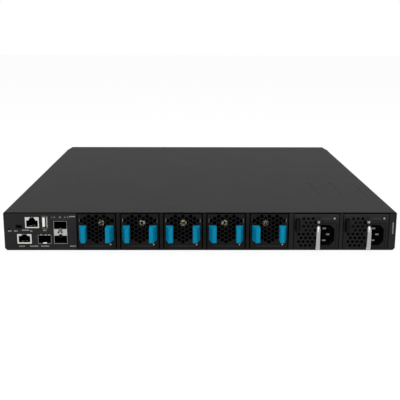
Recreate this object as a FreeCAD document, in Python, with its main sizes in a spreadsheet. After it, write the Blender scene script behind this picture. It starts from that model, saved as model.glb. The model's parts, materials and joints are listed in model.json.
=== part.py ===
import FreeCAD, Part

import math
import os
import re

import Sketcher

# One-unit rack ethernet switch with five fan trays and two power supplies.
# Lengths are in millimetres, +Z is up, and the origin is the middle of the underside.
# The power side faces -Y and the port side faces +Y.

FAN_COUNT = 5
PSU_COUNT = 2
BLADE_COUNT = 5
GANG_COUNT = 5
FIN_COUNT = 11
VENT_SLOT_COUNT = 6
STATUS_LIGHT_COUNT = 4
DUCT_SIDES = 12
HUB_SIDES = 10
BOSS_SIDES = 8
SHAFT_SIDES = 8

SIZES = {
    # chassis
    "chassis_height": 44,
    "chassis_depth": 460,
    "management_width": 79.3,
    "right_post": 6,
    "middle_post_extra": 1.1,
    "post_width": 3.8,
    "floor_sheet": 1.2,
    "cover_sheet": 1,
    "panel_sheet": 1.2,
    "divider_sheet": 0.8,
    "seam_gap": 0.2,
    "slide_gap": 0.2,
    "module_gap": 1,
    "cover_lip": 10,
    "pan_bevel": 2.4,
    "cover_bevel": 1,
    "ear_hole_radius": 2.1,
    "ear_hole_run": 40,
    "ear_hole_inset": 20,
    "ear_hole_height": 20,
    # port side
    "bezel_depth": 34,
    "bezel_taper": 3.8,
    "bezel_sheet": 1.5,
    "gang_pitch": 43,
    "port_width": 18.9,
    "port_height": 9,
    "port_depth": 48,
    "port_spacer": 4.4,
    "cage_sheet": 0.8,
    "cage_stand": 0.4,
    "cage_plug_depth": 6,
    "vent_slot_width": 4,
    "vent_slot_height": 26,
    "vent_slot_pitch": 15,
    "vent_slot_start": 116,
    # boards and heat sink
    "standoff_height": 5.8,
    "standoff_side": 6,
    "main_board": 2.4,
    "board_margin": 8,
    "small_board": 1.6,
    "lower_board_top": 7.6,
    "upper_board_drop": 18.5,
    "lower_board_length": 70,
    "upper_board_length": 36,
    "upper_board_width": 47,
    "spacer_side": 5,
    "sink_width": 112,
    "sink_length": 96,
    "sink_pedestal": 3.6,
    "sink_pedestal_width": 46,
    "sink_base": 5,
    "sink_height": 28,
    "sink_fin": 1.2,
    "sink_distance": 70,
    "socket_depth": 6,
    "socket_height": 7,
    "fan_socket_width": 16,
    "psu_socket_width": 30,
    "plug_gap": 0.6,
    "fan_strip_height": 14,
    "psu_strip_height": 34,
    # sockets of the management section, measured from the left side
    "connector_stand": 0.4,
    "cutout_gap": 0.2,
    "jack_width": 16.5,
    "jack_depth": 21,
    "console_jack_x": 31.8,
    "console_jack_height": 13.6,
    "management_jack_x": 22.5,
    "management_jack_height": 11.6,
    "jack_mouth_width": 12,
    "jack_mouth_height": 7,
    "jack_mouth_depth": 13,
    "jack_sill": 2.2,
    "jack_notch_width": 6.4,
    "jack_rim": 0.9,
    "usb_x": 46.2,
    "usb_width": 6.5,
    "usb_height": 14.4,
    "usb_depth": 14,
    "usb_shell": 0.5,
    "usb_tongue": 2.2,
    "usb_tongue_inset": 0.9,
    "usb_tongue_depth": 10,
    "mini_usb_x": 17,
    "mini_usb_width": 7.4,
    "mini_usb_height": 4.2,
    "mini_usb_depth": 9,
    "mini_usb_shell": 0.5,
    "mini_usb_bevel": 1.3,
    "cage_depth": 48,
    "cage_wall": 0.6,
    "sfp_x": 45.2,
    "sfp_width": 15.3,
    "sfp_height": 10.4,
    "sfp_stack_x": 63.2,
    "sfp_stack_height": 26.7,
    "sfp_stack_bar": 7.6,
    "light_side": 1.6,
    "light_length": 8,
    "light_stand": 0.2,
    "light_drop": 7.7,
    "light_pitch": 5.6,
    "light_start": 55.4,
    # fan trays
    "fan_pitch": 48.4,
    "tray_width": 42,
    "tray_face": 1,
    "tray_wall": 0.8,
    "tray_flange": 1,
    "tray_length": 94,
    "vent_pitch": 4.9,
    "vent_web": 0.9,
    "vent_radius": 16.3,
    "vent_rise": 3.4,
    "fan_light_x": 15.3,
    "fan_light_height": 5.3,
    "fan_side": 38,
    "fan_length": 50,
    "fan_depth": 30,
    "fan_bore_radius": 17.6,
    "fan_strut": 3,
    "fan_strut_length": 4,
    "boss_side": 9,
    "hub_radius": 9,
    "hub_depth": 39.5,
    "hub_boss_radius": 3.8,
    "hub_boss_stand": 0.8,
    "blade_gap": 0.7,
    "blade_length": 24,
    "blade_lean": 9,
    "blade_thickness": 1.2,
    "blade_sink": 2.2,
    "pivot_radius": 2.2,
    "pivot_length": 2,
    "pivot_gap": 0.06,
    "end_gap": 0.2,
    # squeeze grips of the fan trays
    "grip_height": 17,
    "grip_drop": 0.4,
    "grip_reach": 14,
    "grip_base": 9.2,
    "grip_tip": 5.5,
    "grip_inset": 1.6,
    "grip_edge": 0.8,
    "face_gap": 1,
    "arm_height": 11,
    "arm_thickness": 1.6,
    "arm_root_depth": 26,
    "arm_gap": 0.2,
    "slot_travel": 2.6,
    "slot_gap": 0.5,
    "nib_depth": 7,
    "nib_length": 4,
    "nib_height": 6,
    "nib_stand": 0.8,
    # power supplies
    "psu_pitch": 55.8,
    "psu_width": 50.5,
    "psu_length": 300,
    "psu_sheet": 1,
    "psu_vent_pitch": 5.15,
    "psu_vent_web": 2,
    "psu_vent_width": 17,
    "psu_vent_height": 30,
    "psu_vent_inset": 4.8,
    "psu_vent_rise": 1.6,
    "psu_vent_margin": 3.5,
    "psu_fan_inset": 20.5,
    "psu_hub_depth": 30,
    "psu_hub_length": 18,
    "psu_blade_radius": 17.5,
    "psu_blade_length": 12,
    "psu_blade_lean": 7,
    "psu_strut": 4,
    "inlet_x": 12.1,
    "inlet_middle": 17.4,
    "inlet_width": 20,
    "inlet_height": 27.5,
    "inlet_depth": 24,
    "inlet_mouth_width": 16.4,
    "inlet_mouth_height": 24,
    "inlet_mouth_depth": 16,
    "inlet_bevel": 5,
    "pin_length": 12,
    "pin_wide": 4,
    "pin_thin": 2,
    "pin_spread": 7,
    "pin_line": -2.6,
    "earth_pin_line": 1.6,
    "handle_x": 1.5,
    "handle_low": 5.5,
    "handle_high": 35.5,
    "handle_reach": 25,
    "handle_bar": 4.8,
    "handle_bend": 5,
    "handle_lean": 10,
    "handle_axis": 3.8,
    "stub_radius": 2,
    "stub_length": 1,
    "stub_gap": 0.06,
    "ear_width": 6.4,
    "ear_wall": 1.1,
    "ear_sheet": 1,
    "psu_latch_inset": 1.9,
    "psu_latch_width": 2.4,
    "psu_latch_height": 14,
    "psu_latch_middle": 29.3,
    "psu_latch_reach": 8,
    "psu_latch_travel": 1.4,
    "psu_latch_root": 26,
    "psu_latch_tail": 3,
}

MODULES = f"({FAN_COUNT} * fan_pitch + middle_post_extra + {PSU_COUNT} * psu_pitch)"
WIDTH = f"(management_width + {MODULES} + right_post)"
LEFT = f"(-{WIDTH} / 2)"
RIGHT = f"({WIDTH} / 2)"
REAR = "(-chassis_depth / 2)"
PORT = "(chassis_depth / 2)"
SEAM = "(chassis_depth / 2 - bezel_depth)"
ROOF = "(chassis_height - cover_sheet - seam_gap)"
LIP = "(chassis_height - cover_lip)"
SHELF = f"({RIGHT} - cover_sheet - seam_gap)"
MODULE_FLOOR = "(floor_sheet + slide_gap)"
MODULE_ROOF = "(chassis_height - cover_sheet - module_gap)"
FAN_ROW = f"({LEFT} + management_width)"
PSU_ROW = f"({FAN_ROW} + {FAN_COUNT} * fan_pitch + middle_post_extra)"
FAN_AXIS = "(floor_sheet + slide_gap + tray_wall + fan_side / 2)"
PSU_AXIS = f"(({MODULE_FLOOR} + {MODULE_ROOF}) / 2)"
BOARD_TOP = "(floor_sheet + standoff_height + main_board)"
UPPER_BOARD_TOP = "(chassis_height - upper_board_drop)"
FAN_STRIP = f"({REAR} + tray_length + plug_gap + socket_depth)"
PSU_STRIP = f"({REAR} + psu_length + plug_gap + socket_depth)"
CAGE_HEIGHT = "(2 * port_height + port_spacer + 2 * cage_sheet)"
GANG_WIDTH = "(2 * port_width + 3 * cage_sheet)"

# how much shorter the inside of a 45-degree bevel is than its outside, per thickness
MITRE = f"{2 - math.sqrt(2):.6f}"

ALIAS = re.compile(r"\b(" + "|".join(sorted(SIZES, key=len, reverse=True)) + r")\b")

doc = FreeCAD.newDocument("EthernetSwitch")
sheet = doc.addObject("Spreadsheet::Sheet", "Sizes")
for row, (alias, size) in enumerate(SIZES.items(), start=1):
    sheet.set(f"A{row}", alias)
    sheet.set(f"B{row}", str(size))
    sheet.setAlias(f"B{row}", alias)
doc.recompute()

nodes = {}


# helpers that tie objects to the sheet


def linked(formula):
    """Point each size named in a formula at its cell."""
    return ALIAS.sub(r"Sizes.\1", str(formula))


def value(formula):
    """Work a formula out as a number."""
    return float(sheet.evalExpression(linked(formula)))


def bind(target, prop, formula):
    target.setExpression(prop, linked(formula))


def place(target, x, y, z):
    for axis, formula in zip("xyz", (x, y, z)):
        bind(target, f"Placement.Base.{axis}", formula)


def node(name, target):
    """Name a finished sub-part; its label names its file."""
    target.Label = name
    nodes[name] = target
    return target


def box(name, low, size):
    """A box by its low corner and its size along X, Y and Z."""
    made = doc.addObject("Part::Box", name)
    for prop, formula in zip(("Length", "Width", "Height"), size):
        bind(made, prop, formula)
    place(made, *low)
    return made


def bore(name, low, radius, depth, axis="z"):
    """A cutting prism up Z, or along Y; a shaft of the given radius turns inside its flats."""
    made = doc.addObject("Part::Prism", name)
    made.Polygon = SHAFT_SIDES
    if axis == "y":
        made.Placement.Rotation = FreeCAD.Rotation(FreeCAD.Vector(1, 0, 0), -90)
    bind(made, "Circumradius", f"({radius}) / {math.cos(math.pi / SHAFT_SIDES):.6f}")
    bind(made, "Height", depth)
    place(made, *low)
    return made


def group(name, pieces):
    """Separate solids kept together."""
    made = doc.addObject("Part::Compound", name)
    made.Links = pieces
    return made


def fuse(name, pieces):
    made = doc.addObject("Part::MultiFuse", name)
    made.Shapes = pieces
    made.Refine = True
    return made


def cut(name, base, tools):
    made = doc.addObject("Part::Cut", name)
    made.Base = base
    made.Tool = tools[0] if len(tools) == 1 else group(name + "_tools", tools)
    made.Refine = True
    return made


def new_body(name):
    return doc.addObject("PartDesign::Body", name)


def rectangle(u_low, v_low, u_high, v_high):
    return [(u_low, v_low), (u_high, v_low), (u_high, v_high), (u_low, v_high)]


def mirrored(right):
    """A closed outline from the corners of its right half."""
    return right + [(f"-{u}", v) for u, v in reversed(right)]


def polygon(u, v, radius, sides):
    """Corners of a regular polygon with a flat on top for an even number of sides."""
    corners = []
    for index in range(sides):
        angle = 2 * math.pi * (index + 0.5) / sides
        across, up = math.sin(angle), math.cos(angle)
        corners.append((f"{u} + {radius} * {across:.6f}", f"{v} + {radius} * {up:.6f}"))
    return corners


def through(sheet_size):
    """Start and length along Y of a cut that passes well through a sheet at the rear face."""
    return f"({REAR} - {sheet_size})", f"3 * {sheet_size}"


def sketch(body, name, plane, offset, loops=(), circles=()):
    """A sketch on one of the body's own planes whose corners and circles are tied to formulas."""
    made = body.newObject("Sketcher::SketchObject", name)
    support = next(item for item in body.Origin.OriginFeatures if item.Role == plane)
    made.AttachmentSupport = [(support, "")]
    made.MapMode = "FlatFace"
    bind(made, "AttachmentOffset.Base.z", offset)
    shapes, limits, formulas = [], [], []
    for corners in loops:
        points = [FreeCAD.Vector(value(u), value(v), 0) for u, v in corners]
        first = len(shapes)
        for index, (start, end) in enumerate(zip(points, points[1:] + points[:1])):
            following = first + (index + 1) % len(points)
            shapes.append(Part.LineSegment(start, end))
            limits.append(Sketcher.Constraint("Coincident", first + index, 2, following, 1))
            formulas.append(None)
        for index, corner in enumerate(corners):
            tie_point(limits, formulas, first + index, 1, corner)
    for u, v, radius in circles:
        middle = FreeCAD.Vector(value(u), value(v), 0)
        shapes.append(Part.Circle(middle, FreeCAD.Vector(0, 0, 1), value(radius)))
        tie_point(limits, formulas, len(shapes) - 1, 3, (u, v))
        limits.append(Sketcher.Constraint("Radius", len(shapes) - 1, value(radius)))
        formulas.append(radius)
    made.addGeometry(shapes, False)
    made.addConstraint(limits)
    for index, formula in enumerate(formulas):
        if formula is not None:
            bind(made, f"Constraints[{index}]", formula)
    return made


def tie_point(limits, formulas, shape, point, corner):
    """Hold one point of a sketch at two formulas."""
    for kind, formula in zip(("DistanceX", "DistanceY"), corner):
        limits.append(Sketcher.Constraint(kind, -1, 1, shape, point, value(formula)))
        formulas.append(formula)


def repeat(body, feature, count, pitch):
    """Repeat a body's newest feature along +X."""
    made = body.newObject("PartDesign::LinearPattern", feature.Name + "_row")
    made.Originals = [feature]
    made.Direction = (next(item for item in body.Origin.OriginFeatures if item.Role == "X_Axis"), [""])
    made.Occurrences = count
    bind(made, "Length", f"{count - 1} * {pitch}")
    body.Tip = made
    return made


def pad(body, profile, length, backwards=False):
    """Thicken a sketch along its plane's normal, or against it."""
    made = body.newObject("PartDesign::Pad", profile.Name + "_pad")
    made.Profile = profile
    made.Reversed = backwards
    bind(made, "Length", length)
    return made


def pocket(body, profile, length, forwards=False):
    """Cut a sketch against its plane's normal, or along it."""
    made = body.newObject("PartDesign::Pocket", profile.Name + "_pocket")
    made.Profile = profile
    made.Reversed = forwards
    bind(made, "Length", length)
    return made


def pad_y(body, name, start, length, loops):
    """Thicken an XZ outline towards +Y from the plane y = start."""
    profile = sketch(body, name, "XZ_Plane", f"-({start})", loops)
    return pad(body, profile, length, backwards=True)


def cut_y(body, name, start, length, loops):
    """Cut an XZ outline towards +Y from the plane y = start."""
    profile = sketch(body, name, "XZ_Plane", f"-({start})", loops)
    return pocket(body, profile, length)


def pad_z(body, name, start, length, loops):
    """Thicken an XY outline upwards from the plane z = start."""
    profile = sketch(body, name, "XY_Plane", start, loops)
    return pad(body, profile, length)


def dress(body, kind, size_property, size, edge_test):
    """Fillet or chamfer the edges of the body's tip whose middles pass a test."""
    doc.recompute()
    base = body.Tip
    names = []
    for index, edge in enumerate(base.Shape.Edges, start=1):
        if edge_test(edge, edge.CenterOfMass):
            names.append(f"Edge{index}")
    made = body.newObject(f"PartDesign::{kind}", f"{body.Name}_{kind.lower()}")
    made.Base = (base, names)
    bind(made, size_property, size)
    return made


def near(a, b):
    return abs(a - b) < 0.01


# chassis


def make_base_pan():
    """Folded floor and sides; the sides step in under the cover's lip."""
    body = new_body("base_pan_body")
    inner_shelf = f"({SHELF} - floor_sheet)"
    inner_wall = f"({RIGHT} - floor_sheet)"
    inner_bevel = f"(pan_bevel - {MITRE} * floor_sheet)"
    right = [
        (f"({RIGHT} - pan_bevel)", "0"),
        (RIGHT, "pan_bevel"),
        (RIGHT, LIP),
        (SHELF, LIP),
        (SHELF, ROOF),
        (inner_shelf, ROOF),
        (inner_shelf, f"{LIP} - floor_sheet"),
        (inner_wall, f"{LIP} - floor_sheet"),
        (inner_wall, f"floor_sheet + {inner_bevel}"),
        (f"({inner_wall} - {inner_bevel})", "floor_sheet"),
    ]
    start = f"({REAR} + panel_sheet)"
    pad_y(body, "pan_section", start, "chassis_depth - bezel_depth - panel_sheet", [mirrored(right)])
    pad_z(body, "main_posts", "floor_sheet", "standoff_height",
          [post_outline(x, y) for x, y in board_posts()])
    pad_z(body, "small_posts", "floor_sheet", "lower_board_top - small_board - floor_sheet",
          [post_outline(x, y) for x, y in small_board_posts()])
    holes = []
    for along in ("0", "ear_hole_run"):
        holes.append((f"{SEAM} - ear_hole_inset - {along}", "ear_hole_height", "ear_hole_radius"))
    profile = sketch(body, "ear_holes", "YZ_Plane", LEFT, circles=holes)
    pocket(body, profile, WIDTH, forwards=True)
    return node("base_pan", body)


def post_outline(x, y):
    half = "standoff_side / 2"
    return rectangle(f"{x} - {half}", f"{y} - {half}", f"{x} + {half}", f"{y} + {half}")


def board_posts():
    """Places of the posts under the main board."""
    inset = "(board_margin + standoff_side)"
    near_y = f"{FAN_STRIP} + small_board + {inset}"
    far_y = f"{SEAM} - {inset}"
    middle_y = f"({near_y} + {far_y}) / 2"
    left_x = f"{LEFT} + {inset} + floor_sheet"
    right_x = f"{PSU_ROW} - {inset}"
    corner_x = f"{RIGHT} - {inset} - floor_sheet"
    return [(left_x, near_y), (left_x, middle_y), (left_x, far_y),
            (right_x, near_y), (right_x, middle_y), (corner_x, far_y)]


def small_board_posts():
    """Places of the posts under the lower management board."""
    near_y = f"{REAR} + connector_stand + jack_depth + 2 * standoff_side"
    far_y = f"{REAR} + lower_board_length"
    left_x = f"{LEFT} + board_margin + standoff_side / 2"
    right_x = f"{FAN_ROW} - board_margin - standoff_side / 2"
    return [(left_x, near_y), (left_x, far_y), (right_x, near_y), (right_x, far_y)]


def make_top_cover():
    """Folded lid whose side lips lap over the stepped sides of the pan."""
    body = new_body("top_cover_body")
    inside = f"({RIGHT} - cover_sheet)"
    under = "(chassis_height - cover_sheet)"
    inner_bevel = f"(cover_bevel - {MITRE} * cover_sheet)"
    low = f"{LIP} + seam_gap"
    right = [
        (f"({inside} - {inner_bevel})", under),
        (inside, f"{under} - {inner_bevel}"),
        (inside, low),
        (RIGHT, low),
        (RIGHT, "chassis_height - cover_bevel"),
        (f"({RIGHT} - cover_bevel)", "chassis_height"),
    ]
    pad_y(body, "cover_section", REAR, "chassis_depth - bezel_depth", [mirrored(right)])
    return node("top_cover", body)


def port_outlines():
    """Outer outlines of the sockets and lights in the rear panel: left, low, right and high edges."""
    outlines = {}

    def add(name, x, low, width, height):
        middle = f"({LEFT} + {x})"
        outlines[name] = (f"{middle} - {width} / 2", low, f"{middle} + {width} / 2", f"{low} + {height}")

    add("console_jack", "console_jack_x", UPPER_BOARD_TOP, "jack_width", "console_jack_height")
    add("management_jack", "management_jack_x", "lower_board_top", "jack_width", "management_jack_height")
    add("usb_port", "usb_x", UPPER_BOARD_TOP, "usb_width", "usb_height")
    add("mini_usb_port", "mini_usb_x", UPPER_BOARD_TOP, "mini_usb_width", "mini_usb_height")
    add("sfp_cage", "sfp_x", "lower_board_top", "sfp_width", "sfp_height")
    add("sfp_stack_cage", "sfp_stack_x", "lower_board_top", "sfp_width", "sfp_stack_height")
    for index in range(STATUS_LIGHT_COUNT):
        x = f"(light_start + {index} * light_pitch)"
        add(f"status_light_{index + 1}", x, "(chassis_height - light_drop - light_side / 2)",
            "light_side", "light_side")
    return outlines


def make_rear_panel():
    """Plate of the power side: windows for the modules, open at the top, and socket cut-outs."""
    body = new_body("rear_panel_body")
    right = [(f"({RIGHT} - pan_bevel)", "0"), (RIGHT, "pan_bevel"), (RIGHT, LIP),
             (SHELF, LIP), (SHELF, ROOF)]
    pad_y(body, "panel_outline", REAR, "panel_sheet", [mirrored(right)])
    windows = []
    for start, pitch, count in ((FAN_ROW, "fan_pitch", FAN_COUNT), (PSU_ROW, "psu_pitch", PSU_COUNT)):
        for index in range(count):
            low = f"{start} + {index} * {pitch} + post_width / 2"
            high = f"{start} + {index + 1} * {pitch} - post_width / 2"
            windows.append(rectangle(low, "floor_sheet", high, "chassis_height"))
    cut_y(body, "bay_windows", REAR, "panel_sheet", windows)
    openings = []
    for low_x, low_z, high_x, high_z in port_outlines().values():
        openings.append(rectangle(f"{low_x} - cutout_gap", f"{low_z} - cutout_gap",
                                  f"{high_x} + cutout_gap", f"{high_z} + cutout_gap"))
    cut_y(body, "socket_cutouts", REAR, "panel_sheet", openings)
    return node("rear_panel", body)


def make_bay_dividers():
    """Folded channels, open below, that stand between the module bays."""
    pieces = []
    start = f"({REAR} + panel_sheet)"
    height = f"{ROOF} - floor_sheet"
    for index in range(FAN_COUNT + PSU_COUNT):
        if index < FAN_COUNT:
            middle = f"({FAN_ROW} + {index} * fan_pitch)"
            length = f"({FAN_STRIP} - {start} - plug_gap)"
        else:
            middle = f"({PSU_ROW} + {index - FAN_COUNT} * psu_pitch)"
            length = f"({PSU_STRIP} - {start} - plug_gap)"
        name = f"divider_{index + 1}"
        outer = box(name + "_outer", (f"{middle} - post_width / 2", start, "floor_sheet"),
                    ("post_width", length, height))
        inner = box(name + "_inner", (f"{middle} - post_width / 2 + divider_sheet", start, "floor_sheet"),
                    ("post_width - 2 * divider_sheet", length, f"{height} - divider_sheet"))
        pieces.append(cut(name, outer, [inner]))
    return node("bay_dividers", group("bay_dividers_group", pieces))


# port side


def gang_left(index):
    return f"(({index} - {GANG_COUNT} / 2 + 0.5) * gang_pitch - {GANG_WIDTH} / 2)"


def make_port_panel():
    """Hollow tapered nose with a window for each gang of ports and slots for air at both ends."""
    body = new_body("port_panel_body")
    tip = f"({RIGHT} - bezel_taper)"
    plan = [(LEFT, SEAM), (RIGHT, SEAM), (tip, PORT), (f"-{tip}", PORT)]
    pad_z(body, "nose_plan", "0", "chassis_height", [plan])
    inside = f"({tip} - bezel_sheet)"
    hollow = rectangle(f"-{inside}", "floor_sheet", inside, "chassis_height - cover_sheet")
    cut_y(body, "nose_hollow", SEAM, "bezel_depth - bezel_sheet", [hollow])
    face = f"{PORT} - bezel_sheet"
    low = gang_left(0)
    window = rectangle(f"{low} - cutout_gap", f"{BOARD_TOP} - cutout_gap",
                       f"{low} + {GANG_WIDTH} + cutout_gap", f"{BOARD_TOP} + {CAGE_HEIGHT} + cutout_gap")
    repeat(body, cut_y(body, "gang_window", face, "bezel_sheet", [window]), GANG_COUNT, "gang_pitch")
    slot_low = "(chassis_height - vent_slot_height) / 2"
    slot_high = "(chassis_height + vent_slot_height) / 2"
    slot_run = f"{VENT_SLOT_COUNT - 1} * vent_slot_pitch"
    left_start = f"(-vent_slot_start - vent_slot_width - {slot_run})"
    for name, start in (("right", "vent_slot_start"), ("left", left_start)):
        slot = rectangle(start, slot_low, f"{start} + vent_slot_width", slot_high)
        first = cut_y(body, f"{name}_slot", face, "bezel_sheet", [slot])
        repeat(body, first, VENT_SLOT_COUNT, "vent_slot_pitch")
    return node("port_panel", body)


def make_port_cages():
    """Gangs of four module ports, two over two, each built up from folded plates."""
    pieces = []
    length = "(port_depth + cage_stand)"
    start = f"({PORT} + cage_stand - {length})"
    row_low = f"({BOARD_TOP} + cage_sheet)"
    inner_height = "(2 * port_height + port_spacer)"
    for gang in range(GANG_COUNT):
        left = gang_left(gang)
        name = f"gang_{gang + 1}"
        pieces.append(box(name + "_floor", (left, start, BOARD_TOP), (GANG_WIDTH, length, "cage_sheet")))
        pieces.append(box(name + "_roof", (left, start, f"{row_low} + {inner_height}"),
                          (GANG_WIDTH, length, "cage_sheet")))
        for wall in range(3):
            x = f"{left} + {wall} * (port_width + cage_sheet)"
            pieces.append(box(f"{name}_wall_{wall + 1}", (x, start, row_low),
                              ("cage_sheet", length, inner_height)))
        for column in range(2):
            x = f"{left} + cage_sheet + {column} * (port_width + cage_sheet)"
            pieces.append(box(f"{name}_spacer_{column + 1}", (x, start, f"{row_low} + port_height"),
                              ("port_width", length, "port_spacer")))
        pieces.append(box(name + "_plug", (left, f"{start} - cage_plug_depth", BOARD_TOP),
                          (GANG_WIDTH, "cage_plug_depth", CAGE_HEIGHT)))
    return node("port_cages", group("port_cages_group", pieces))


# boards and what stands on them


def make_main_board():
    """Board that fills the chassis beside and beyond the power supplies."""
    body = new_body("main_board_body")
    low_x = f"{LEFT} + floor_sheet + board_margin"
    step_x = f"{PSU_ROW} - board_margin"
    high_x = f"{RIGHT} - floor_sheet - board_margin"
    low_y = f"{FAN_STRIP} + small_board + board_margin"
    step_y = f"{PSU_STRIP} + small_board + board_margin"
    high_y = f"{PORT} - bezel_sheet - seam_gap"
    outline = [(low_x, low_y), (step_x, low_y), (step_x, step_y),
               (high_x, step_y), (high_x, high_y), (low_x, high_y)]
    pad_z(body, "board_outline", "floor_sheet + standoff_height", "main_board", [outline])
    return node("main_board", body)


def make_heat_sink():
    """Extruded sink over the switching chip: pedestal, base and upright fins in one section."""
    body = new_body("heat_sink_body")
    half = "(sink_width / 2)"
    foot = "(sink_pedestal_width / 2)"
    base_low = f"({BOARD_TOP} + sink_pedestal)"
    base_high = f"({base_low} + sink_base)"
    tip = f"({BOARD_TOP} + sink_height)"
    right = [(foot, BOARD_TOP), (foot, base_low), (half, base_low), (half, base_high)]
    start = f"{FAN_STRIP} + small_board + sink_distance"
    pad_y(body, "sink_base_section", start, "sink_length", [mirrored(right)])
    fin = rectangle(f"-{half}", base_high, f"-{half} + sink_fin", tip)
    repeat(body, pad_y(body, "sink_fin_section", start, "sink_length", [fin]), FIN_COUNT,
           f"((sink_width - sink_fin) / {FIN_COUNT - 1})")
    return node("heat_sink", body)


def make_backplane():
    """Two upright board strips with the sockets that the modules plug into."""
    pieces = [box("fan_strip", (FAN_ROW, FAN_STRIP, "floor_sheet"),
                  (f"{PSU_ROW} - post_width / 2 - plug_gap - {FAN_ROW}", "small_board", "fan_strip_height"))]
    fan_low = "floor_sheet + (fan_strip_height - socket_height) / 2"
    for index in range(FAN_COUNT):
        left = f"{fan_centre(index)} - fan_socket_width / 2"
        pieces.append(box(f"fan_socket_{index + 1}", (left, f"{FAN_STRIP} - socket_depth", fan_low),
                          ("fan_socket_width", "socket_depth", "socket_height")))
    pieces.append(box("psu_strip", (f"{PSU_ROW} + post_width", PSU_STRIP, "floor_sheet"),
                      (f"{PSU_COUNT} * psu_pitch - 2 * post_width", "small_board", "psu_strip_height")))
    psu_low = "floor_sheet + (psu_strip_height - socket_height) / 2"
    for index in range(PSU_COUNT):
        left = f"{psu_centre(index)} - psu_socket_width / 2"
        pieces.append(box(f"psu_socket_{index + 1}", (left, f"{PSU_STRIP} - socket_depth", psu_low),
                          ("psu_socket_width", "socket_depth", "socket_height")))
    return node("backplane", group("backplane_group", pieces))


def make_management_boards():
    """Two small boards, one over the other, held apart by spacers."""
    low_x = f"({LEFT} + floor_sheet + pan_bevel)"
    low_y = f"({REAR} + panel_sheet + pan_bevel)"
    upper_low = f"({UPPER_BOARD_TOP} - small_board)"
    pieces = [
        box("lower_board", (low_x, low_y, "lower_board_top - small_board"),
            (f"{FAN_ROW} - post_width - {low_x}", "lower_board_length", "small_board")),
        box("upper_board", (low_x, low_y, upper_low),
            ("upper_board_width", "upper_board_length", "small_board")),
    ]
    spacer_y = f"{low_y} + upper_board_length - spacer_side"
    middle_x = "(management_jack_x + jack_width / 2 + sfp_x - sfp_width / 2) / 2"
    between_ports = f"({LEFT} + {middle_x} - spacer_side / 2)"
    for index, x in enumerate((low_x, between_ports), start=1):
        pieces.append(box(f"spacer_{index}", (x, spacer_y, "lower_board_top"),
                          ("spacer_side", "spacer_side", f"{upper_low} - lower_board_top")))
    return node("management_boards", group("management_boards_group", pieces))


# sockets of the management section


def socket_block(name, depth):
    """A box that fills a socket's outline and stands a little proud of the panel."""
    low_x, low_z, high_x, high_z = port_outlines()[name]
    return box(name + "_block", (low_x, f"{REAR} - connector_stand", low_z),
               (f"({high_x}) - ({low_x})", depth, f"({high_z}) - ({low_z})"))


def make_jack(name):
    """Network jack: a block with a stepped mouth whose notch takes the plug's tab."""
    low_x, low_z, high_x, high_z = port_outlines()[name]
    body = new_body(name + "_body")
    start = f"{REAR} - connector_stand"
    pad_y(body, name + "_outline", start, "jack_depth", [rectangle(low_x, low_z, high_x, high_z)])
    middle = f"(({low_x} + {high_x}) / 2)"
    sill = f"({low_z} + jack_sill)"
    shoulder = f"({sill} + jack_mouth_height)"
    right = [(f"{middle} + jack_mouth_width / 2", sill),
             (f"{middle} + jack_mouth_width / 2", shoulder),
             (f"{middle} + jack_notch_width / 2", shoulder),
             (f"{middle} + jack_notch_width / 2", f"{high_z} - jack_rim")]
    left = [(x.replace(f"{middle} +", f"{middle} -"), z) for x, z in reversed(right)]
    cut_y(body, name + "_mouth", start, "jack_mouth_depth", [right + left])
    return node(name, body)


def make_usb_port():
    """Upright rectangular socket: a folded shell, closed behind, with a tongue at its left."""
    low_x, low_z, high_x, high_z = port_outlines()["usb_port"]
    start = f"({REAR} - connector_stand)"
    inner = box("usb_inner", (f"{low_x} + usb_shell", start, f"{low_z} + usb_shell"),
                ("usb_width - 2 * usb_shell", "usb_depth - usb_shell", "usb_height - 2 * usb_shell"))
    node("usb_port", cut("usb_shell_cut", socket_block("usb_port", "usb_depth"), [inner]))
    back = f"({start} + usb_depth - usb_shell)"
    low = (f"{low_x} + usb_tongue_inset", f"{back} - usb_tongue_depth", f"{low_z} + 2 * usb_tongue_inset")
    tongue = box("usb_tongue_box", low,
                 ("usb_tongue", "usb_tongue_depth", "usb_height - 4 * usb_tongue_inset"))
    return node("usb_tongue", tongue)


def make_mini_usb_port():
    """Small socket whose lower corners are cut off."""
    low_x, low_z, high_x, high_z = port_outlines()["mini_usb_port"]
    body = new_body("mini_usb_body")

    def outline(inset):
        left, right = f"{low_x} + {inset}", f"{high_x} - {inset}"
        low, high = f"{low_z} + {inset}", f"{high_z} - {inset}"
        shoulder = f"{low} + mini_usb_bevel"
        return [(f"{left} + mini_usb_bevel", low), (f"{right} - mini_usb_bevel", low),
                (right, shoulder), (right, high), (left, high), (left, shoulder)]

    start = f"{REAR} - connector_stand"
    pad_y(body, "mini_usb_outline", start, "mini_usb_depth", [outline("0")])
    cut_y(body, "mini_usb_mouth", start, "mini_usb_depth - mini_usb_shell", [outline("mini_usb_shell")])
    return node("mini_usb_port", body)


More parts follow.
